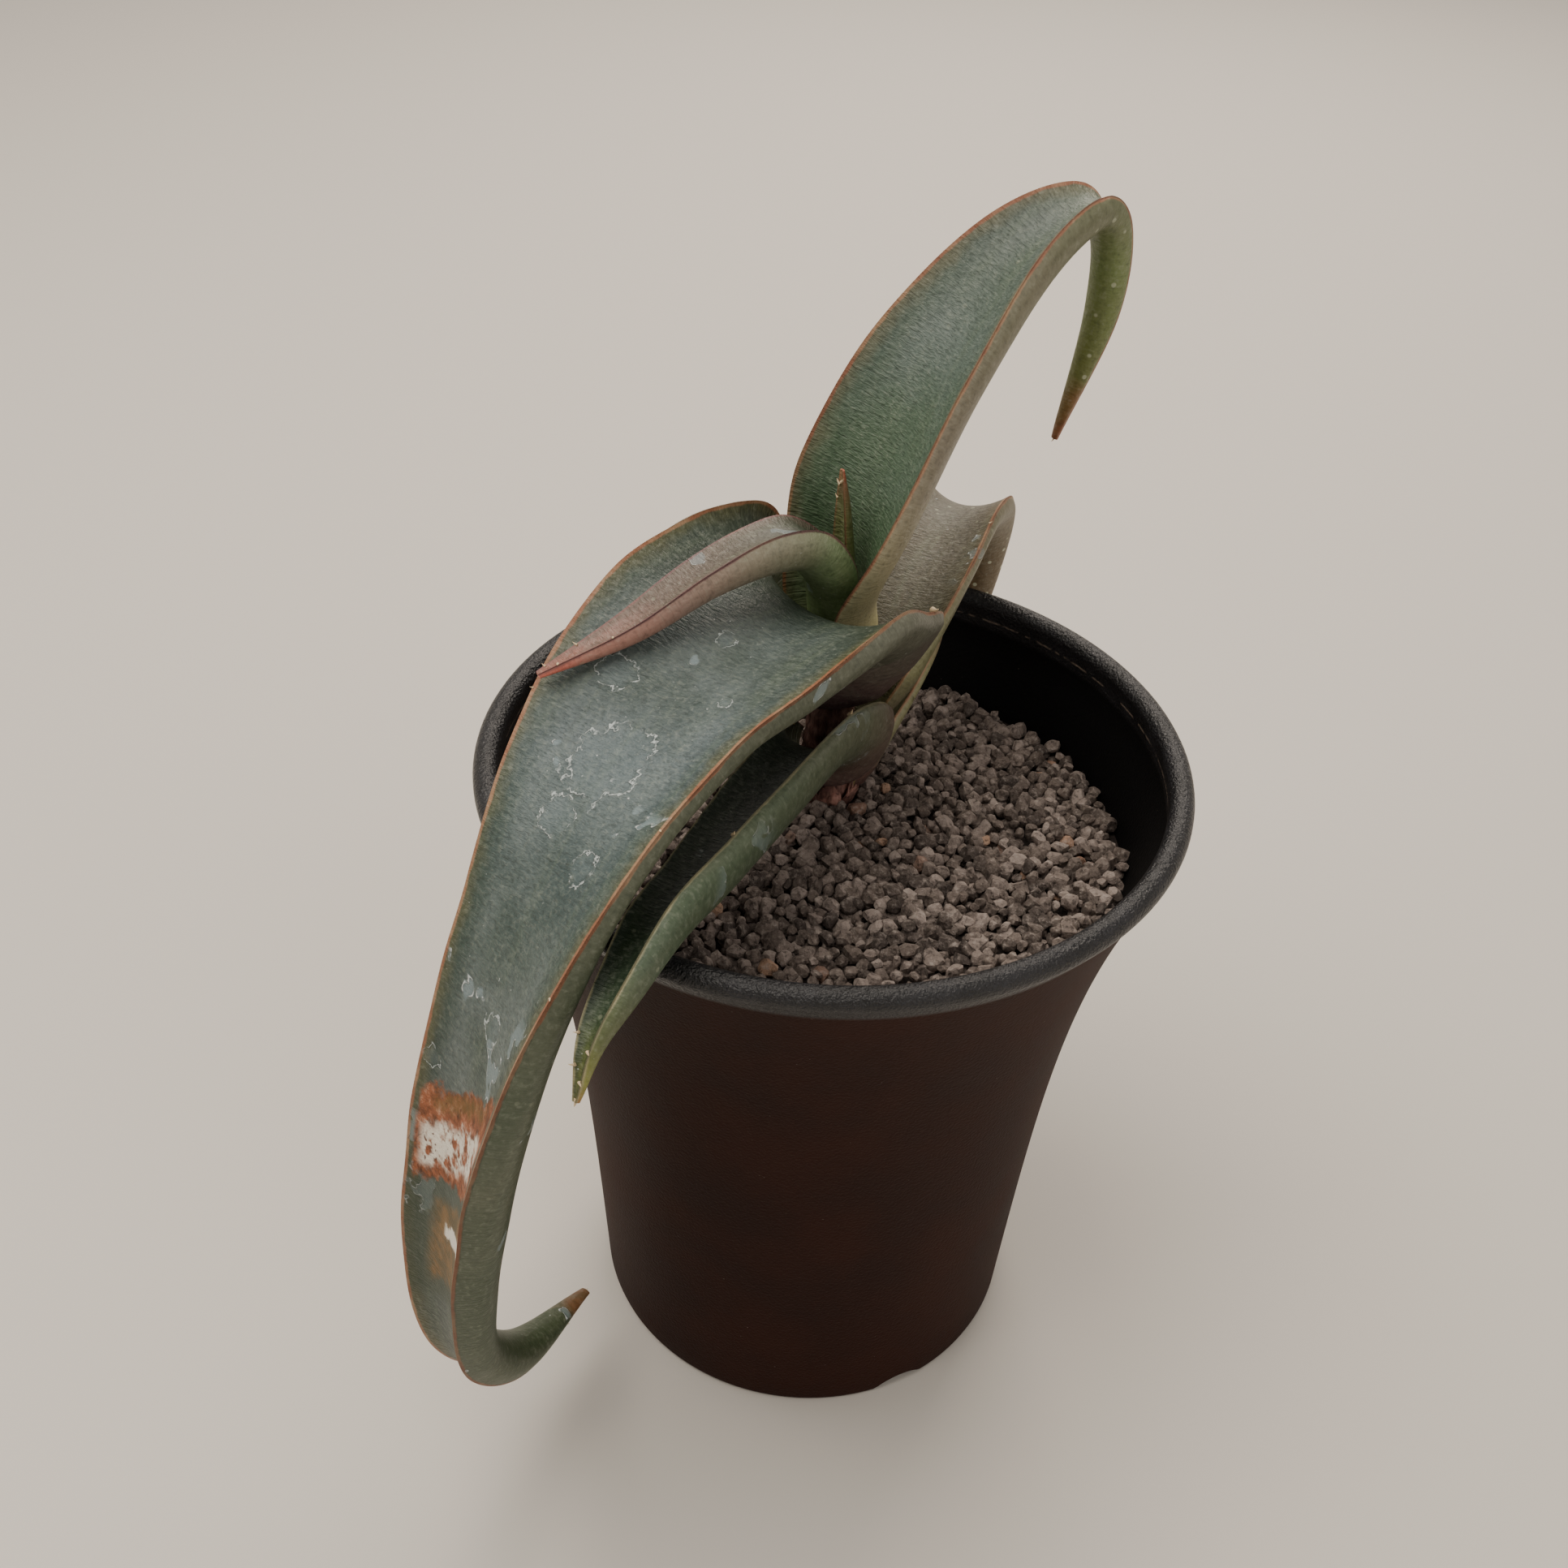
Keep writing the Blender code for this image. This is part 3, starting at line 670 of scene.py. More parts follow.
def teeth(left: Iterable[Point] = (), right: Iterable[Point] = (), tip: float = 0.0) -> tuple[Tooth, ...]:
    """The teeth of one leaf.

    Args:
        left: Share of the leaf's length and tooth length, for each tooth on the left margin.
        right: The same for the right margin.
        tip: Length of the tooth at the tip, or 0 for none.

    Returns:
        The teeth.
    """
    found = [Tooth(at, Side.LEFT, length) for at, length in left]
    found += [Tooth(at, Side.RIGHT, length) for at, length in right]
    return (*found, Tooth(1.0, Side.TIP, tip)) if tip else tuple(found)


@dataclass
class Leaf:
    """A fleshy leaf lofted from its stations, with rounded margins and a few teeth."""

    name: str
    direction: float
    stations: Sequence[tuple[float, ...]]
    skin: LeafSkin
    sections: int = 150
    half: int = 22
    rim: float = 0.32
    ripple: float = 0.25
    plump: float = 1.0
    seed: int = 0
    teeth: Sequence[Tooth] = field(default_factory=tuple)
    edges: dict[Side, list[Vector]] = field(default_factory=dict)
    outs: dict[Side, list[Vector]] = field(default_factory=dict)

    def rows(self) -> list[Station]:
        """Catmull-Rom values between the stations."""
        stations = self.stations
        first = [2.0 * a - b for a, b in zip(stations[0], stations[1])]
        last = [2.0 * a - b for a, b in zip(stations[-1], stations[-2])]
        knots = [first, *stations, last]
        found = []
        for place in evenly(0.0, len(stations) - 1.0, self.sections):
            span = min(int(place), len(stations) - 2)
            t = place - span
            found.append(Station(*(
                0.5 * (2.0 * b + (c - a) * t + (2.0 * a - 5.0 * b + 4.0 * c - d) * t ** 2
                       + (3.0 * b - a - 3.0 * c + d) * t ** 3)
                for a, b, c, d in zip(*knots[span:span + 4]))))
        return found

    def outline(self, row: Station) -> tuple[list[Point], list[float], list[float], list[float]]:
        """The closed section: upper face from margin to margin, then the lower face back.

        Args:
            row: The station that the section is cut at.

        Returns:
            The points, and for each its distance across, its distance to the margin, and whether it
            lies on the lower face.
        """
        width = max(row.width, LEAST)
        depth = max(row.channel, 0.0)
        thick = max(row.thickness, LEAST)
        power = 2.0 - min(max(row.roundness, 0.0), 1.0)
        limit = math.pi / 2.0
        lip = min(self.rim, 0.35 * thick, 0.25 * width)

        def chord(angle: float) -> Point:
            """A point of the upper face."""
            return 0.5 * width * math.sin(angle), depth * max(math.cos(angle), 0.0) ** power

        upper: list[Point] = []
        lower: list[Point] = []
        spans: list[float] = []
        for index in range(self.half):
            share = -1.0 + 2.0 * index / (self.half - 1)
            angle = limit * share
            here = chord(angle)
            before = chord(max(angle - 0.01, -limit))
            after = chord(min(angle + 0.01, limit))
            run = Vector((after[0] - before[0], after[1] - before[1])).normalized()
            rounding = 2.0 * lip * min(1.0, (1.0 - abs(share)) * 8.0) ** 0.5
            bulge = rounding + (thick - 2.0 * lip) * max(math.cos(angle), 0.0) ** self.plump
            upper.append(here)
            lower.append((here[0] - run.y * bulge, here[1] + run.x * bulge))
            spans.append(here[0])
        points = upper + lower[-2:0:-1]
        across = spans + spans[-2:0:-1]
        margin = self.from_edge(upper) + self.from_edge(lower)[-2:0:-1]
        back = [0.0] * len(upper) + [1.0] * (len(points) - len(upper))
        return points, across, margin, back

    @staticmethod
    def from_edge(line: Sequence[Point]) -> list[float]:
        """Distance along a face from each point to the nearer margin."""
        gone = [0.0]
        for a, b in zip(line, line[1:]):
            gone.append(gone[-1] + math.dist(a, b))
        return [min(value, gone[-1] - value) for value in gone]

    def build(self) -> bpy.types.Object:
        """Shape a grid round the sections, close its ends, add the teeth, and dress it."""
        rows = self.rows()
        centres = [Vector((row.reach, row.sway, row.height)) for row in rows]
        window = max(1, round(self.sections / 15))
        turn = Matrix.Rotation(math.radians(self.direction), 3, "Z")
        stand = Vector((*PLANT_AXIS, 0.0))
        count = 2 * self.half - 2
        places: list[Vector] = []
        values: dict[str, list[float]] = {"along": [], "across": [], "margin": [], "back": [], "length": []}
        travelled = 0.0
        self.edges = {side: [] for side in Side}
        self.outs = {side: [] for side in Side}
        for index, row in enumerate(rows):
            if index:
                travelled += (centres[index] - centres[index - 1]).length
            ahead = centres[min(index + window, len(rows) - 1)]
            along = (ahead - centres[max(index - window, 0)]).normalized()
            side = Vector((0.0, 1.0, 0.0))
            side = (side - along * side.dot(along)).normalized()
            up = along.cross(side)
            roll = math.radians(row.roll)
            over = side * math.cos(roll) + up * math.sin(roll)
            rise = up * math.cos(roll) - side * math.sin(roll)
            points, across, margin, back = self.outline(row)
            gone = index / (len(rows) - 1)
            fade = math.sin(math.pi * gone)
            wave = self.ripple * fade * noise.noise(Vector((travelled * 0.07, self.seed * 3.1, 0.5)))
            for (x, y), span, edge, under in zip(points, across, margin, back):
                lift = wave * (2.0 * span / max(row.width, LEAST)) ** 2
                places.append(turn @ (centres[index] + over * x - rise * (y - lift)) + stand)
                for key, value in zip(values, (gone, span, edge, under, travelled)):
                    values[key].append(value)
            first = len(places) - count
            for mark, at in ((Side.RIGHT, first), (Side.LEFT, first + self.half - 1)):
                self.edges[mark].append(places[at].copy())
                self.outs[mark].append((turn @ (over * mark.value + rise * 0.25)).normalized())
            core = centres[index] - rise * 0.5 * max(row.thickness, LEAST)
            self.edges[Side.TIP].append(turn @ core + stand)
            self.outs[Side.TIP].append(turn @ along)
        leaf = self.skin_grid(places, values, count)
        pieces = [leaf] + [self.tooth(tooth) for tooth in self.teeth]
        leaf = join(pieces, self.name)
        self.keep_in(leaf)
        outward(leaf)
        smooth(leaf, 50.0)
        return dress(leaf, self.skin.build(), self.name, self.name)

    @staticmethod
    def keep_in(leaf: bpy.types.Object) -> None:
        """Hold every point of a leaf inside the part's box."""
        low, high = CAD_BOX
        for vert in leaf.data.vertices:
            vert.co = Vector(min(max(at, least), most) for at, least, most in zip(vert.co, low, high))

    def skin_grid(self, places: Sequence[Vector], values: dict[str, list[float]],
                  count: int) -> bpy.types.Object:
        """Wrap a grid primitive round the leaf, join its long seam and close its two ends.

        Args:
            places: Points in millimetres, section by section.
            values: Measures of each point, by name.
            count: Points in a section.

        Returns:
            The closed leaf.
        """
        deselect()
        bpy.ops.mesh.primitive_grid_add(x_subdivisions=count, y_subdivisions=self.sections - 1, size=1.0)
        leaf = bpy.context.object
        mesh = leaf.data
        across = count + 1
        flat = np.array([tuple(place) for place in places]).reshape(self.sections, count, 3) * MM
        closed = np.concatenate([flat, flat[:, :1]], axis=1).reshape(-1, 3)
        if len(mesh.vertices) != self.sections * across:
            raise ValueError(f"{self.name}: grid has {len(mesh.vertices)} points")
        mesh.vertices.foreach_set("co", closed.ravel())
        for key, numbers in values.items():
            row = np.array(numbers).reshape(self.sections, count)
            row = np.concatenate([row, row[:, :1]], axis=1).ravel()
            keep(mesh, key, row)
        mesh.update()
        bpy.ops.object.mode_set(mode="EDIT")
        bpy.ops.mesh.select_all(action="SELECT")
        bpy.ops.mesh.remove_doubles(threshold=0.000001)
        bpy.ops.object.mode_set(mode="OBJECT")
        form = bmesh.new()
        form.from_mesh(mesh)
        form.verts.ensure_lookup_table()
        bound = [edge for edge in form.edges if edge.is_boundary]
        filled = bmesh.ops.triangle_fill(form, use_beauty=True, use_dissolve=False, edges=bound)
        if not filled["geom"]:
            raise ValueError(f"{self.name}: an end stayed open")
        form.to_mesh(mesh)
        form.free()
        return leaf

    def tooth(self, tooth: Tooth) -> bpy.types.Object:
        """A bent horn rooted in the margin, drawn from a small ring."""
        spot = min(self.sections - 1, max(0, round(tooth.along * (self.sections - 1))))
        edge = self.edges[tooth.side]
        root = edge[spot]
        ahead = edge[min(spot + 2, self.sections - 1)] - edge[max(spot - 2, 0)]
        out = self.outs[tooth.side][spot]
        tip_way = (out + ahead.normalized() * 0.55).normalized()
        radius = 0.42 * tooth.length
        deselect()
        bpy.ops.mesh.primitive_cone_add(vertices=10, radius1=radius * MM, radius2=radius * 0.12 * MM,
                                        depth=1.5 * tooth.length * MM, location=(0.0, 0.0, 0.0))
        horn = bpy.context.object
        bpy.ops.object.mode_set(mode="EDIT")
        bpy.ops.mesh.subdivide(number_cuts=2)
        bpy.ops.object.mode_set(mode="OBJECT")
        for vert in horn.data.vertices:
            share = vert.co.z / (tooth.length * MM) + 0.75
            vert.co.x += 0.22 * tooth.length * MM * share ** 2
        turn = tip_way.to_track_quat("Z", "X").to_matrix().to_4x4()
        turn.translation = (root - out * 0.45 * tooth.length + tip_way * 0.6 * tooth.length) * MM
        horn.data.transform(turn)
        for key, value in HORN_VALUES.items():
            keep(horn.data, key, [value] * len(horn.data.vertices))
        return horn


TALL_SKIN = LeafSkin(
    "aloe_skin_blue_green",
    middle=((0.0, "a3a66a"), (0.16, "6b7c58"), (0.3, "4d6549"), (0.45, "516256"), (0.6, "5c6760"),
            (0.7, "586554"), (0.85, "6b7d3c"), (1.0, "6b6f38")),
    side="726c52", edge="9a6048",
    back=((0.0, "e0da94"), (0.2, "b9b18a"), (0.38, "7d7564"), (0.7, "656b4d"), (0.85, "6b7d42"),
          (0.96, "656a34"), (1.0, "7d4a2a")),
    band=3.5, line=0.6, bloom_and_sheen=0.2, seed=3.0, spots=0.6, root="d2cb86")
LARGE_SKIN = LeafSkin(
    "aloe_skin_deep_blue_green",
    middle=((0.0, "4c5636"), (0.15, "343d2e"), (0.3, "384437"), (0.42, "414f49"), (0.53, "455557"),
            (0.62, "3b4d45"), (0.72, "2f4038"), (0.8, "2b3b30"), (1.0, "45523a")),
    side="5c5a36", edge="9c6245",
    back=((0.0, "5a4144"), (0.07, "5d4c48"), (0.16, "616053"), (0.4, "5f6352"), (0.6, "4b5542"),
          (0.8, "3f4b35"), (0.985, "47533a"), (1.0, "7b5330")),
    band=3.6, line=0.6, bloom_and_sheen=0.36, flakes=0.8, seed=11.0, scar=True, spots=0.15, root="b98a7a",
    rings=((87.0, -0.5, 6.8), (57.0, 0.5, 1.6), (70.0, 10.0, 1.1), (104.0, 6.5, 2.4), (98.0, -4.0, 3.4),
           (132.0, 1.5, 2.6), (147.0, -11.0, 1.8), (72.0, -9.0, 3.2)))
CURLED_SKIN = LeafSkin(
    "aloe_skin_flushed_purple",
    middle=((0.0, "75834f"), (0.25, "47543f"), (0.45, "474d3d"), (0.6, "555246"), (0.8, "6f6057"),
            (0.93, "987268"), (1.0, "d0705f")),
    side="6d6055", edge="775053",
    back=((0.0, "9aaa5c"), (0.2, "728a58"), (0.45, "748460"), (0.62, "8a8672"), (0.8, "a08478"),
          (0.93, "b88476"), (1.0, "d0705f")),
    band=2.0, line=0.3, back_line=0.35, bloom_and_sheen=0.12, flakes=0.6, seed=19.0, worn="8a5f58")
FOLDED_SKIN = LeafSkin(
    "aloe_skin_bronzed",
    middle=((0.0, "66603e"), (0.15, "45421f"), (0.3, "46412a"), (0.45, "4e4735"), (0.6, "554d3d"),
            (0.8, "665b48"), (1.0, "5c4c34")),
    side="5a4f36", edge="96603f",
    back=((0.0, "4f3433"), (0.1, "5b4a41"), (0.25, "8b8a62"), (0.45, "77735a"), (0.6, "6f6a52"),
          (0.85, "655338"), (1.0, "5a4a2c")),
    band=3.0, line=0.5, bloom_and_sheen=0.1, flakes=0.6, seed=27.0, spots=0.8)
LOWER_SKIN = LeafSkin(
    "aloe_skin_dark_channel",
    middle=((0.0, "3f4430"), (0.2, "1c2a20"), (0.6, "20301f"), (0.85, "2f4228"), (0.95, "6a7030"),
            (1.0, "86803a")),
    side="263528", edge="8d8a6c",
    back=((0.0, "4c3231"), (0.12, "5f4845"), (0.22, "6c5a50"), (0.3, "60664f"), (0.5, "526049"),
          (0.75, "455540"), (0.88, "566038"), (0.95, "868a3a"), (1.0, "9a6238")),
    band=2.0, line=0.25, back_line=0.4, bloom_and_sheen=0.05, flakes=0.5, seed=35.0, worn="a39b78", root="6b4a45")
OLDEST_SKIN = LeafSkin(
    "aloe_skin_pale_old",
    middle=((0.0, "7a6a4c"), (0.3, "858259"), (0.7, "8b8a62"), (0.9, "92705a"), (1.0, "a5503c")),
    side="8f8b66", edge="a06b4e",
    back=((0.0, "5c3d3a"), (0.25, "7f625a"), (0.42, "949070"), (0.75, "9c9b70"), (0.92, "8e6d58"),
          (1.0, "9c4f40")),
    band=3.0, line=0.4, bloom_and_sheen=0.1, seed=43.0, ticks=True)
NEWEST_SKIN = LeafSkin(
    "aloe_skin_young_green",
    middle=((0.0, "a3aa63"), (0.4, "6f7c48"), (0.8, "6b6f45"), (0.93, "7d5a3e"), (1.0, "9c5338")),
    side="7d8054", edge="8d664a",
    back=((0.0, "a8ad66"), (0.4, "6d7848"), (0.75, "68693f"), (0.93, "7f5a40"), (1.0, "a4533c")),
    band=1.2, line=0.25, back_line=0.25, bloom_and_sheen=0.1, seed=51.0)


def leaves() -> list[Leaf]:
    """The seven leaves, oldest first, with their stations from base to tip."""
    return [
        Leaf("oldest_right_leaf", 52.0, (
            (0.0, 0.0, 112.2, 11.0, 0, 6.6, 2.0, 1.0),
            (0.6, 0.0, 114.6, 12.0, 0, 6.4, 2.4, 1.0),
            (3.0, 0.0, 118.0, 13.6, 0, 5.2, 2.8, 0.9),
            (8.5, 0.0, 122.0, 13.5, 0, 4.0, 3.0, 0.6),
            (16.0, 0.0, 126.5, 12.0, 0, 2.5, 3.0, 0.3),
            (24.0, 0.0, 131.0, 8.0, 0, 1.5, 2.6, 0.0),
            (31.0, 0.0, 136.0, 1.2, 0, 0.2, 0.9, 0.0),
        ), OLDEST_SKIN, sections=90, seed=1, teeth=teeth(left=((0.8, 0.5),), right=((0.88, 0.5),))),
        Leaf("lower_left_leaf", 249.0, (
            (-2.0, 0.0, 118.4, 11.4, 0, 7.8, 2.2, 1.0),
            (-1.0, 0.5, 122.0, 16.4, 8, 9.5, 2.4, 1.0),
            (4.0, 1.7, 129.0, 19.4, 22, 7.5, 3.0, 0.8),
            (16.0, 2.2, 133.7, 16.2, 30, 5.0, 3.6, 0.3),
            (34.0, 1.9, 135.2, 14.9, 32, 4.5, 4.0, 0.0),
            (54.0, 1.6, 136.0, 12.4, 36, 4.0, 4.0, 0.0),
            (70.0, 1.5, 136.5, 9.5, 36, 3.0, 4.0, 0.0),
            (82.0, 1.5, 132.0, 6.5, 34, 2.0, 3.2, 0.0),
            (89.0, 1.5, 127.0, 3.6, 30, 1.0, 2.2, 0.0),
            (93.0, 2.0, 119.5, 0.8, 24, 0.1, 0.8, 0.0),
        ), LOWER_SKIN, seed=2, teeth=teeth(
            left=((0.33, 1.0), (0.55, 0.8), (0.9, 0.7), (0.96, 0.7)), right=((0.93, 0.7), (0.87, 0.6)),
            tip=0.9)),
        Leaf("folded_right_leaf", 66.0, (
            (-3.0, 0.0, 122.0, 11.4, 0, 8.6, 2.2, 1.0),
            (-2.0, -0.5, 128.0, 15.6, 0, 10.0, 2.4, 1.0),
            (3.0, -1.1, 136.0, 22.4, -6, 10.0, 3.2, 0.8),
            (13.0, -1.5, 142.5, 25.0, -3, 7.0, 4.2, 0.5),
            (27.0, -1.5, 147.0, 24.0, 2, 5.0, 5.0, 0.1),
            (41.0, -1.5, 149.0, 21.0, -3, 4.0, 5.5, 0.0),
            (53.0, -2.0, 145.0, 17.0, -5, 3.0, 5.5, 0.0),
            (60.0, -2.0, 134.0, 13.0, -2, 2.0, 5.0, 0.0),
            (60.0, -2.0, 118.0, 8.0, 0, 1.0, 4.0, 0.0),
            (54.0, -2.0, 99.0, 1.2, 0, 0.2, 0.9, 0.0),
        ), FOLDED_SKIN, seed=3, teeth=teeth(left=((0.93, 0.7),), right=((0.3, 0.7), (0.52, 0.5)))),
        Leaf("large_left_leaf", 229.0, (
            (-5.0, 0.0, 132.0, 15.5, 0, 13.0, 2.4, 1.0),
            (-5.5, 0.0, 142.0, 28.0, 0, 16.5, 2.8, 1.0),
            (-5.0, 0.5, 152.5, 35.4, 0, 17.0, 3.6, 0.9),
            (0.0, 1.0, 157.5, 37.5, -6, 13.0, 5.0, 0.75),
            (8.0, 1.0, 160.5, 40.0, -3, 9.5, 6.2, 0.5),
            (18.0, 1.0, 160.0, 41.0, -5, 7.0, 7.0, 0.3),
            (31.0, 1.4, 157.0, 41.0, -6, 4.6, 7.4, 0.0),
            (50.0, 4.6, 151.4, 38.0, 3, 3.0, 5.6, 0.0),
            (69.6, 9.4, 140.8, 34.4, 12, 2.2, 5.2, 0.0),
            (84.6, 10.8, 121.4, 30.6, 19, 2.6, 7.6, 0.0),
            (94.0, 8.8, 93.8, 24.4, 18, 3.0, 8.8, 0.0),
            (98.0, 7.0, 63.0, 17.0, 9, 2.5, 8.5, 0.0),
            (95.0, 6.0, 37.0, 9.5, -3, 1.5, 7.5, 0.0),
            (81.0, 3.5, 19.0, 6.0, -6, 0.8, 6.0, 0.0),
            (60.0, -1.0, 16.0, 1.2, -4, 0.2, 1.0, 0.0),
        ), LARGE_SKIN, sections=240, half=34, ripple=0.5, plump=0.55, seed=4, teeth=teeth(
            left=((0.19, 1.3), (0.55, 0.5), (0.62, 0.5), (0.975, 0.6)), right=((0.5, 0.4), (0.985, 0.6)),
            tip=0.7)),
        Leaf("tall_right_leaf", 35.0, (
            (-3.0, 0.0, 134.0, 12.0, 0, 8.5, 2.2, 1.0),
            (-4.0, 1.3, 141.0, 15.6, 0, 9.5, 2.4, 1.0),
            (-4.5, 2.2, 151.0, 18.6, -4, 9.0, 3.0, 0.8),
            (-1.0, -0.3, 167.5, 26.0, 1, 7.0, 4.6, 0.4),
            (11.5, -0.5, 189.0, 24.0, 1, 5.0, 5.4, 0.1),
            (27.5, -0.5, 205.5, 15.5, 0, 3.5, 5.6, 0.0),
            (41.0, -1.5, 211.0, 8.0, -1, 1.8, 5.2, 0.0),
            (48.0, -2.0, 205.0, 6.0, -2, 0.8, 4.6, 0.0),
            (48.5, -2.0, 190.0, 5.0, -1, 0.5, 3.8, 0.0),
            (42.0, -1.0, 168.5, 0.9, 0, 0.1, 0.8, 0.0),
        ), TALL_SKIN, sections=200, half=28, ripple=0.35, seed=5, teeth=teeth(tip=0.7)),
        Leaf("curled_left_leaf", 216.5, (
            (-2.0, 0.0, 137.0, 8.0, 0, 5.2, 2.0, 1.0),
            (-1.7, 0.0, 143.5, 8.2, -8, 4.4, 2.2, 0.9),
            (-1.4, -0.2, 152.0, 9.8, -12, 3.6, 3.2, 0.6),
            (1.2, 0.3, 159.0, 12.5, -4, 2.5, 4.8, 0.3),
            (7.0, -0.3, 164.5, 12.0, 11, 1.5, 6.0, 0.0),
            (16.0, 0.0, 165.6, 10.0, 17, 1.0, 6.0, 0.0),
            (27.5, 0.3, 162.8, 7.5, 10, 0.8, 4.8, 0.0),
            (40.5, 0.4, 157.2, 4.7, 2, 0.5, 3.6, 0.0),
            (55.0, -0.4, 152.2, 1.0, 4, 0.1, 0.9, 0.0),
        ), CURLED_SKIN, seed=6, teeth=teeth(
            left=((0.9, 0.5), (0.97, 0.6)), right=((0.94, 0.6), (0.985, 0.5)))),
        Leaf("newest_leaf", 35.0, (
            (0.2, 0.0, 142.0, 5.5, 0, 1.2, 2.0, 0.0),
            (0.0, 0.0, 150.0, 5.0, 0, 1.0, 2.0, 0.0),
            (-0.5, 0.0, 158.0, 3.8, 0, 0.8, 1.8, 0.0),
            (-0.8, 0.0, 166.0, 2.4, 0, 0.5, 1.3, 0.0),
            (-1.0, 0.0, 172.5, 0.6, 0, 0.1, 0.5, 0.0),
        ), NEWEST_SKIN, sections=80, half=14, rim=0.2, ripple=0.0, seed=7, teeth=teeth(
            left=((0.9, 0.7), (0.8, 0.5)), right=((0.93, 0.7),))),
    ]


# ---------------------------------------------------------------- pot


@dataclass
class Pot:
    """A deep flared pot with a rounded lip, a raised drained floor and a notched foot ring."""

    height: float = 128.0
    rim_radius: float = 60.0
    lip: float = 2.1
    foot: float = 40.9
    taper: float = 6.8
    flare: float = 10.7
    wall: float = 1.4
    underside: float = 3.2
    floor: float = 1.6
    foot_width: float = 2.2
    drain: float = 3.5
    drain_ring: float = 22.0
    drains: int = 4
    notches: int = 3
    notch_half_width: float = 5.6
    notch_height: float = 2.7
    notch_ring: float = 40.0
    notch_depth: float = 10.0
    first_notch: float = 300.0
    steps: int = 160

    def side(self, height: float) -> float:
        """Outer radius of the body at a height."""
        share = height / (self.height - 2.0 * self.lip)
        return self.foot + self.taper * share + self.flare * share ** 4

    def outline(self) -> list[Point]:
        """From the middle of the floor, up the inside, over the lip and down to the underside."""
        floor_top = self.underside + self.floor
        lip_height = self.height - self.lip
        lip_middle = self.rim_radius - self.lip
        wall_top = self.height - 2.0 * self.lip
        points = [(0.0, floor_top), (self.drain_ring * 1.5, floor_top)]
        corner = self.side(floor_top) - self.wall
        points += [(corner - 1.6, floor_top), (corner - 0.5, floor_top + 0.4)]
        points += [(self.side(z) - self.wall, z) for z in evenly(floor_top + 1.6, wall_top - self.lip, 26)]
        for angle in evenly(180.0, -90.0, 20):
            turn = math.radians(angle)
            points.append((lip_middle + self.lip * math.cos(turn), lip_height + self.lip * math.sin(turn)))
        points.append((self.side(wall_top - 0.5) + 0.05, wall_top - 0.25))
        points += [(self.side(z), z) for z in evenly(wall_top - 1.0, 1.2, 30)]
        points += [
            (self.foot - 0.15, 0.45),
            (self.foot - 0.6, 0.0),
            (self.foot - self.foot_width, 0.0),
            (self.foot - self.foot_width - 0.4, self.underside),
            (self.drain_ring * 1.5, self.underside),
            (0.0, self.underside),
        ]
        return points

    def cutters(self) -> list[bpy.types.Object]:
        """Drills for the drain holes and round bars for the notches."""
        x, y = POT_AXIS
        found = []
        places = [(0.0, 0.0)]
        for index in range(self.drains):
            angle = math.tau * (index + 0.5) / self.drains
            places.append((self.drain_ring * math.cos(angle), self.drain_ring * math.sin(angle)))
        middle = self.underside + self.floor / 2.0
        for across, deep in places:
            bpy.ops.mesh.primitive_cylinder_add(
                vertices=40, radius=self.drain * MM, depth=4.0 * self.floor * MM,
                location=((x + across) * MM, (y + deep) * MM, middle * MM))
            found.append(bpy.context.object)
        bar = (self.notch_height ** 2 + self.notch_half_width ** 2) / (2.0 * self.notch_height)
        for index in range(self.notches):
            angle = math.radians(self.first_notch) + math.tau * index / self.notches
            across = x + self.notch_ring * math.cos(angle)
            deep = y + self.notch_ring * math.sin(angle)
            bpy.ops.mesh.primitive_cylinder_add(
                vertices=64, radius=bar * MM, depth=self.notch_depth * MM,
                rotation=(0.0, math.pi / 2.0, angle),
                location=(across * MM, deep * MM, (self.notch_height - bar) * MM))
            found.append(bpy.context.object)
        return found

    def build(self) -> bpy.types.Object:
        """Turn, drill, notch and dress the pot."""
        pot = turned("pot", self.outline(), POT_AXIS, self.steps)
        deselect()
        cut(pot, self.cutters())
        smooth(pot, 35.0)
        return dress(pot, black_plastic(self), "pot", "pot")


# ---------------------------------------------------------------- grit


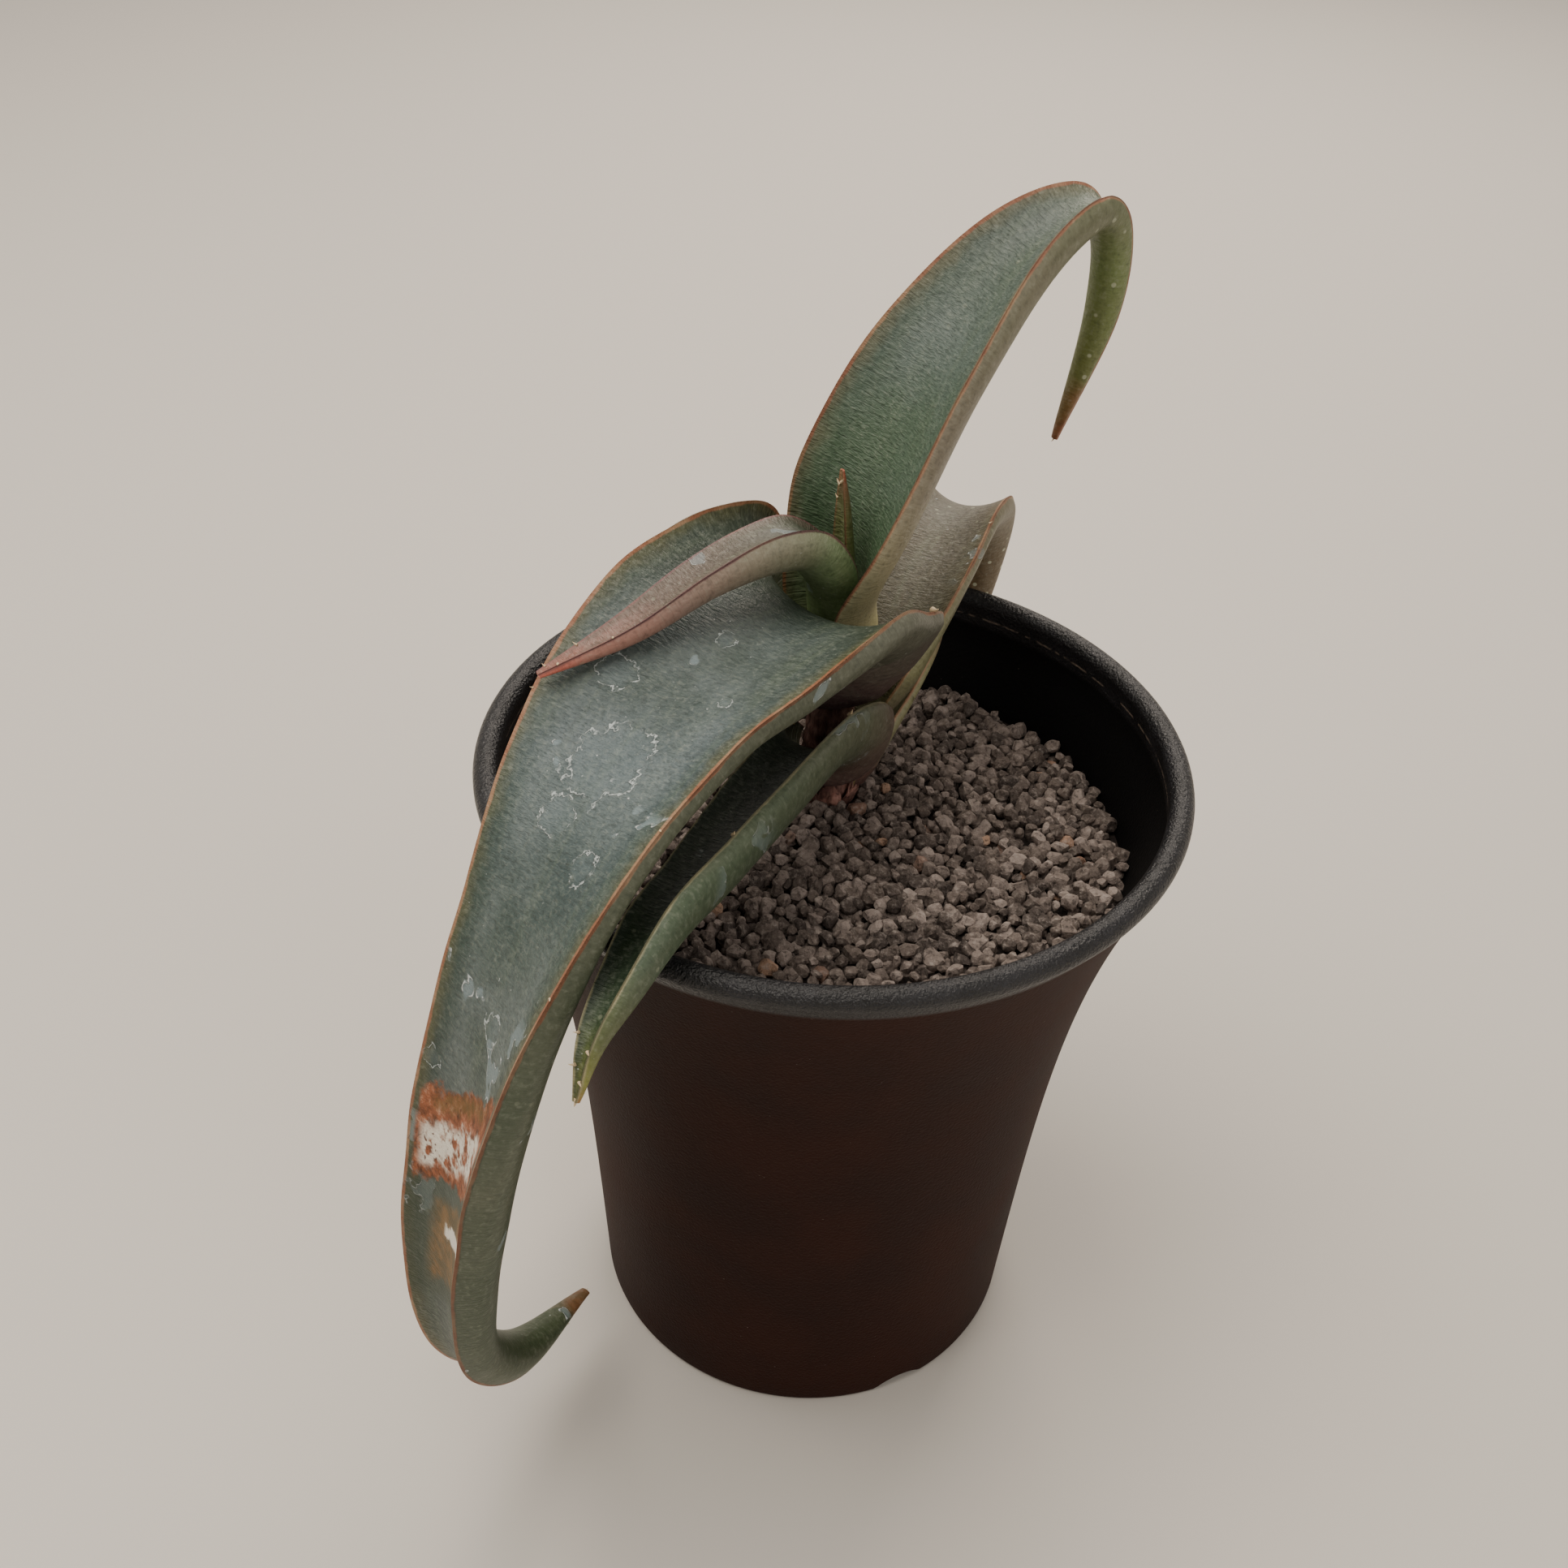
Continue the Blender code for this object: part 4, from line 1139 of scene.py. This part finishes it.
@dataclass
class Grit:
    """Stones about 2 to 4 mm across, in two layers over a bed of fines."""

    pot: Pot
    level: float = 110.0
    dome: float = 0.8
    clearance: float = 0.35
    spacing: float = 2.5
    shapes: int = 14
    row_share: float = 0.866
    reach: float = 56.0
    columns: int = 26
    wall_gap: float = 1.3
    stem_gap: float = 6.2
    hollow: float = 10.0
    seed: int = 7

    def inner(self, height: float) -> float:
        """Radius of the grit against the wall at a height."""
        return self.pot.side(height) - self.pot.wall - self.clearance

    def top(self, x: float, y: float) -> float:
        """Height of the grit's top at a place measured from the pot's axis."""
        share = math.hypot(x, y) / self.inner(self.level)
        around = 0.7 * noise.noise(Vector((x * 0.07, y * 0.07, 3.0)))
        return self.level - self.dome * share ** 2 + around

    def stone(self, rng: random.Random) -> tuple[np.ndarray, list[tuple[int, ...]]]:
        """One stone of unit radius: a lumpy ball with broken faces cut across it.

        Args:
            rng: Source of the shape.

        Returns:
            Its points and faces.
        """
        deselect()
        bpy.ops.mesh.primitive_ico_sphere_add(subdivisions=2, radius=1.0, location=(0.0, 0.0, 0.0))
        stone = bpy.context.object
        shift = Vector((rng.uniform(0.0, 50.0), 0.0, 0.0))
        squeeze = (1.0, rng.uniform(0.75, 1.0), rng.uniform(0.6, 0.9))
        for vert in stone.data.vertices:
            lump = 1.0 + 0.42 * noise.noise(vert.co * 1.1 + shift)
            vert.co = Vector(value * share for value, share in zip(vert.co * lump, squeeze))
        bpy.ops.object.mode_set(mode="EDIT")
        for _ in range(4):
            way = Vector((rng.gauss(0.0, 1.0), rng.gauss(0.0, 1.0), rng.gauss(0.0, 1.0))).normalized()
            bpy.ops.mesh.select_all(action="SELECT")
            bpy.ops.mesh.bisect(plane_co=way * rng.uniform(0.52, 0.75), plane_no=way, use_fill=True,
                                clear_outer=True)
        bpy.ops.object.mode_set(mode="OBJECT")
        points = np.array([tuple(vert.co) for vert in stone.data.vertices])
        faces = [tuple(face.vertices) for face in stone.data.polygons]
        bpy.data.objects.remove(stone, do_unlink=True)
        return points, faces

    def spots(self, rng: random.Random, level: float) -> list[tuple[float, float, float]]:
        """Jittered close packing of one layer, as places from the pot's axis."""
        found = []
        rows = int(self.reach / (self.spacing * self.row_share))
        for row in range(-rows, rows + 1):
            for column in range(-self.columns, self.columns + 1):
                x = (column + 0.5 * (row % 2)) * self.spacing + rng.uniform(-0.7, 0.7)
                y = row * self.spacing * self.row_share + rng.uniform(-0.8, 0.8)
                if math.hypot(x, y) > self.inner(self.level) - self.wall_gap:
                    continue
                stem = math.hypot(x + POT_AXIS[0] - PLANT_AXIS[0], y + POT_AXIS[1] - PLANT_AXIS[1])
                if stem < self.stem_gap:
                    continue
                drop = 0.6 if stem < self.hollow else 0.0
                found.append((x, y, self.top(x, y) - level - drop + rng.uniform(-0.4, 0.4)))
        return found

    def layer(self, name: str, level: float, stones: list, rng: random.Random) -> bpy.types.Object:
        """Lay one layer of stones, each turned and sized on its own.

        Args:
            name: The piece's name.
            level: How far the stones' middles lie below the top.
            stones: The stone shapes to copy.
            rng: Source of the turns, sizes and tones.

        Returns:
            The layer as one mesh, with a tone for each stone.
        """
        points: list[np.ndarray] = []
        faces: list[tuple[int, ...]] = []
        tones: list[float] = []
        start = 0
        for x, y, z in self.spots(rng, level):
            shape, sides = stones[rng.randrange(len(stones))]
            size = rng.uniform(0.95, 1.8) if rng.random() < 0.9 else rng.uniform(1.75, 2.2)
            angle = rng.uniform(0.0, math.tau)
            turn = Matrix.Rotation(angle, 3, Vector((rng.gauss(0, 1), rng.gauss(0, 1), 1.5)))
            place = np.array((x + POT_AXIS[0], y + POT_AXIS[1], z))
            points.append(shape @ np.array(turn).T * size + place)
            faces += [tuple(index + start for index in side) for side in sides]
            tone = rng.uniform(0.9, 1.0) if rng.random() < 0.02 else rng.uniform(0.0, 0.86)
            tones += [tone] * len(shape)
            start += len(shape)
        mesh = bpy.data.meshes.new(name)
        mesh.from_pydata((np.concatenate(points) * MM).tolist(), [], faces)
        keep(mesh, "tone", tones)
        obj = bpy.data.objects.new(name, mesh)
        bpy.context.scene.collection.objects.link(obj)
        smooth(obj, 28.0)
        return dress(obj, grit(), "gravel", "gravel")

    def bed(self) -> bpy.types.Object:
        """The fines that fill the pot below the stones."""
        bottom = self.pot.underside + self.pot.floor + self.clearance
        top = self.level - 2.4
        profile = [(0.0, top)]
        profile += [(share * self.inner(top), top - self.dome * share ** 2) for share in evenly(0.1, 1.0, 10)]
        profile += [(self.inner(z), z) for z in evenly(top - 4.0, bottom, 14)]
        profile.append((0.0, bottom))
        bed = turned("grit_bed", profile, POT_AXIS, 96)
        return dress(bed, fine_bed(), "gravel", "gravel")

    def build(self) -> list[bpy.types.Object]:
        """Make the stone shapes, the bed and the two layers."""
        rng = random.Random(self.seed)
        stones = [self.stone(rng) for _ in range(self.shapes)]
        return [
            self.bed(),
            self.layer("grit_lower_layer", 2.5, stones, rng),
            self.layer("grit_top_layer", 0.75, stones, rng),
        ]


# ---------------------------------------------------------------- stem


@dataclass
class Stem:
    """The short stem, with papery remains of shed leaf bases round its foot."""

    top: float = 141.0
    foot: float = 98.0
    level: float = 110.0
    flakes: int = 7
    seed: int = 5

    def radius(self, height: float) -> float:
        """Radius of the stem at a height."""
        rise = (height - self.level) / 32.0
        return 5.0 - 0.6 * max(rise, 0.0) - 2.6 * rise ** 2

    def core(self) -> bpy.types.Object:
        """The stem itself, wrinkled round and ringed by old leaf scars."""
        heights = evenly(self.top, self.foot, 60)
        profile = [(0.0, self.top)] + [(self.radius(z), z) for z in heights] + [(0.0, self.foot)]
        stem = turned("stem", profile, PLANT_AXIS, 48)
        axis = Vector((PLANT_AXIS[0] * MM, PLANT_AXIS[1] * MM, 0.0))
        for vert in stem.data.vertices:
            out = Vector((vert.co.x - axis.x, vert.co.y - axis.y, 0.0))
            if out.length < 0.0005:
                continue
            ring = 0.035 * math.sin(vert.co.z / MM * 2.1)
            rough = 0.07 * noise.noise(Vector((out.x, out.y, vert.co.z * 0.25)) * 700.0)
            vert.co = vert.co + out * (ring + rough)
        return stem

    def flake(self, rng: random.Random) -> bpy.types.Object:
        """One dry scale: a grid bent round the stem, torn at its upper edge and thickened."""
        deselect()
        bpy.ops.mesh.primitive_grid_add(x_subdivisions=14, y_subdivisions=10, size=1.0)
        flake = bpy.context.object
        middle = rng.uniform(0.0, math.tau)
        half = rng.uniform(0.45, 0.8)
        tall = rng.uniform(3.0, 5.5)
        low = rng.uniform(109.0, 110.0)
        lift = rng.uniform(0.3, 0.7)
        for vert in flake.data.vertices:
            across, rise = vert.co.x * 2.0, vert.co.y + 0.5
            tear = 1.0 - 0.35 * across ** 2 - 0.25 * abs(noise.noise(Vector((across * 3.0, middle, 0.0))))
            angle = middle + across * half * (1.0 - 0.45 * rise)
            height = low + tall * rise * tear
            out = self.radius(height) + lift + 0.5 * rise * (0.4 + across ** 2) + 0.2 * noise.noise(
                Vector((across * 2.0, rise * 3.0, middle)))
            vert.co = Vector((PLANT_AXIS[0] + out * math.cos(angle), PLANT_AXIS[1] + out * math.sin(angle),
                              height)) * MM
        thick = flake.modifiers.new("paper", "SOLIDIFY")
        thick.thickness = 0.25 * MM
        thick.offset = 0.0
        apply_all(flake)
        outward(flake)
        return flake

    def stub(self) -> bpy.types.Object:
        """A small pinkish root knob at the foot, at the front."""
        deselect()
        bpy.ops.mesh.primitive_uv_sphere_add(segments=20, ring_count=12, radius=1.3 * MM, location=(
            (PLANT_AXIS[0] + 1.6) * MM, (PLANT_AXIS[1] - 5.4) * MM, (self.level + 0.6) * MM))
        stub = bpy.context.object
        apply_all(stub)
        for vert in stub.data.vertices:
            vert.co += Vector((1.0, 1.0, 1.0)) * 0.25 * MM * noise.noise(vert.co * 900.0)
        return stub

    def build(self) -> bpy.types.Object:
        """Join the stem, its scales and the knob, and dress them."""
        rng = random.Random(self.seed)
        scales = [self.flake(rng) for _ in range(self.flakes)]
        stem = join([self.core(), *scales, self.stub()], "stem_and_scales")
        smooth(stem, 50.0)
        return dress(stem, dried_stem(), "stem", "stem")


# ---------------------------------------------------------------- stage


@dataclass
class Studio:
    """Floor, camera and lights. The eye is in millimetres from the foot of the pot's axis."""

    lens: float = 39.69
    eye: tuple[float, float, float] = (0.0, -233.03, 300.05)
    ahead: tuple[float, float, float] = (-0.02771, 0.78945, -0.61318)
    right: tuple[float, float, float] = (0.99749, 0.06179, 0.03448)

    def camera(self) -> None:
        """Put the camera at the eye, looking ahead."""
        data = bpy.data.cameras.new("camera")
        data.lens = self.lens
        data.sensor_width = 36.0
        data.clip_start = 0.01
        camera = bpy.data.objects.new("camera", data)
        bpy.context.scene.collection.objects.link(camera)
        back = -Vector(self.ahead).normalized()
        side = (Vector(self.right) - back * back.dot(Vector(self.right))).normalized()
        up = back.cross(side)
        place = Matrix((side, up, back)).transposed().to_4x4()
        place.translation = (Vector(self.eye) + Vector((*POT_AXIS, 0.0))) * MM
        camera.matrix_world = place
        bpy.context.scene.camera = camera

    def light(self, name: str, place: tuple[float, float, float], size: float, power: float,
              code: str) -> None:
        """One square area light, aimed at the plant."""
        data = bpy.data.lights.new(name, "AREA")
        data.size = size
        data.energy = power
        data.color = colour(code)[:3]
        lamp = bpy.data.objects.new(name, data)
        bpy.context.scene.collection.objects.link(lamp)
        lamp.location = place
        lamp.rotation_euler = (Vector((0.0, 0.0, 0.11)) - Vector(place)).to_track_quat("-Z", "Y").to_euler()

    def build(self) -> None:
        """Lay the floor, light it and set the camera."""
        deselect()
        bpy.ops.mesh.primitive_plane_add(size=6.0, location=(0.0, 1.5, 0.0))
        floor = bpy.context.object
        floor.name = "floor"
        floor.data.materials.append(plain_floor())
        self.camera()
        self.light("key", (-0.35, -0.05, 1.0), 0.85, 8.6, "fff6ea")
        self.light("fill", (0.8, -0.6, 0.7), 0.9, 2.8, "fff6ee")
        self.light("back", (0.15, 0.95, 0.85), 0.8, 9.0, "fff2e4")
        world = bpy.data.worlds.new("studio")
        world.use_nodes = True
        shade = world.node_tree.nodes["Background"]
        shade.inputs["Color"].default_value = colour("f2eae0")
        shade.inputs["Strength"].default_value = 0.46
        bpy.context.scene.world = world


def main() -> None:
    """Build the pot, what fills it, the plant and the stage, in that order."""
    logging.basicConfig(level=logging.INFO)
    pot = Pot()
    pot.build()
    Grit(pot).build()
    Stem().build()
    for leaf in leaves():
        leaf.build()
    Studio().build()


if __name__ == "__main__":
    main()
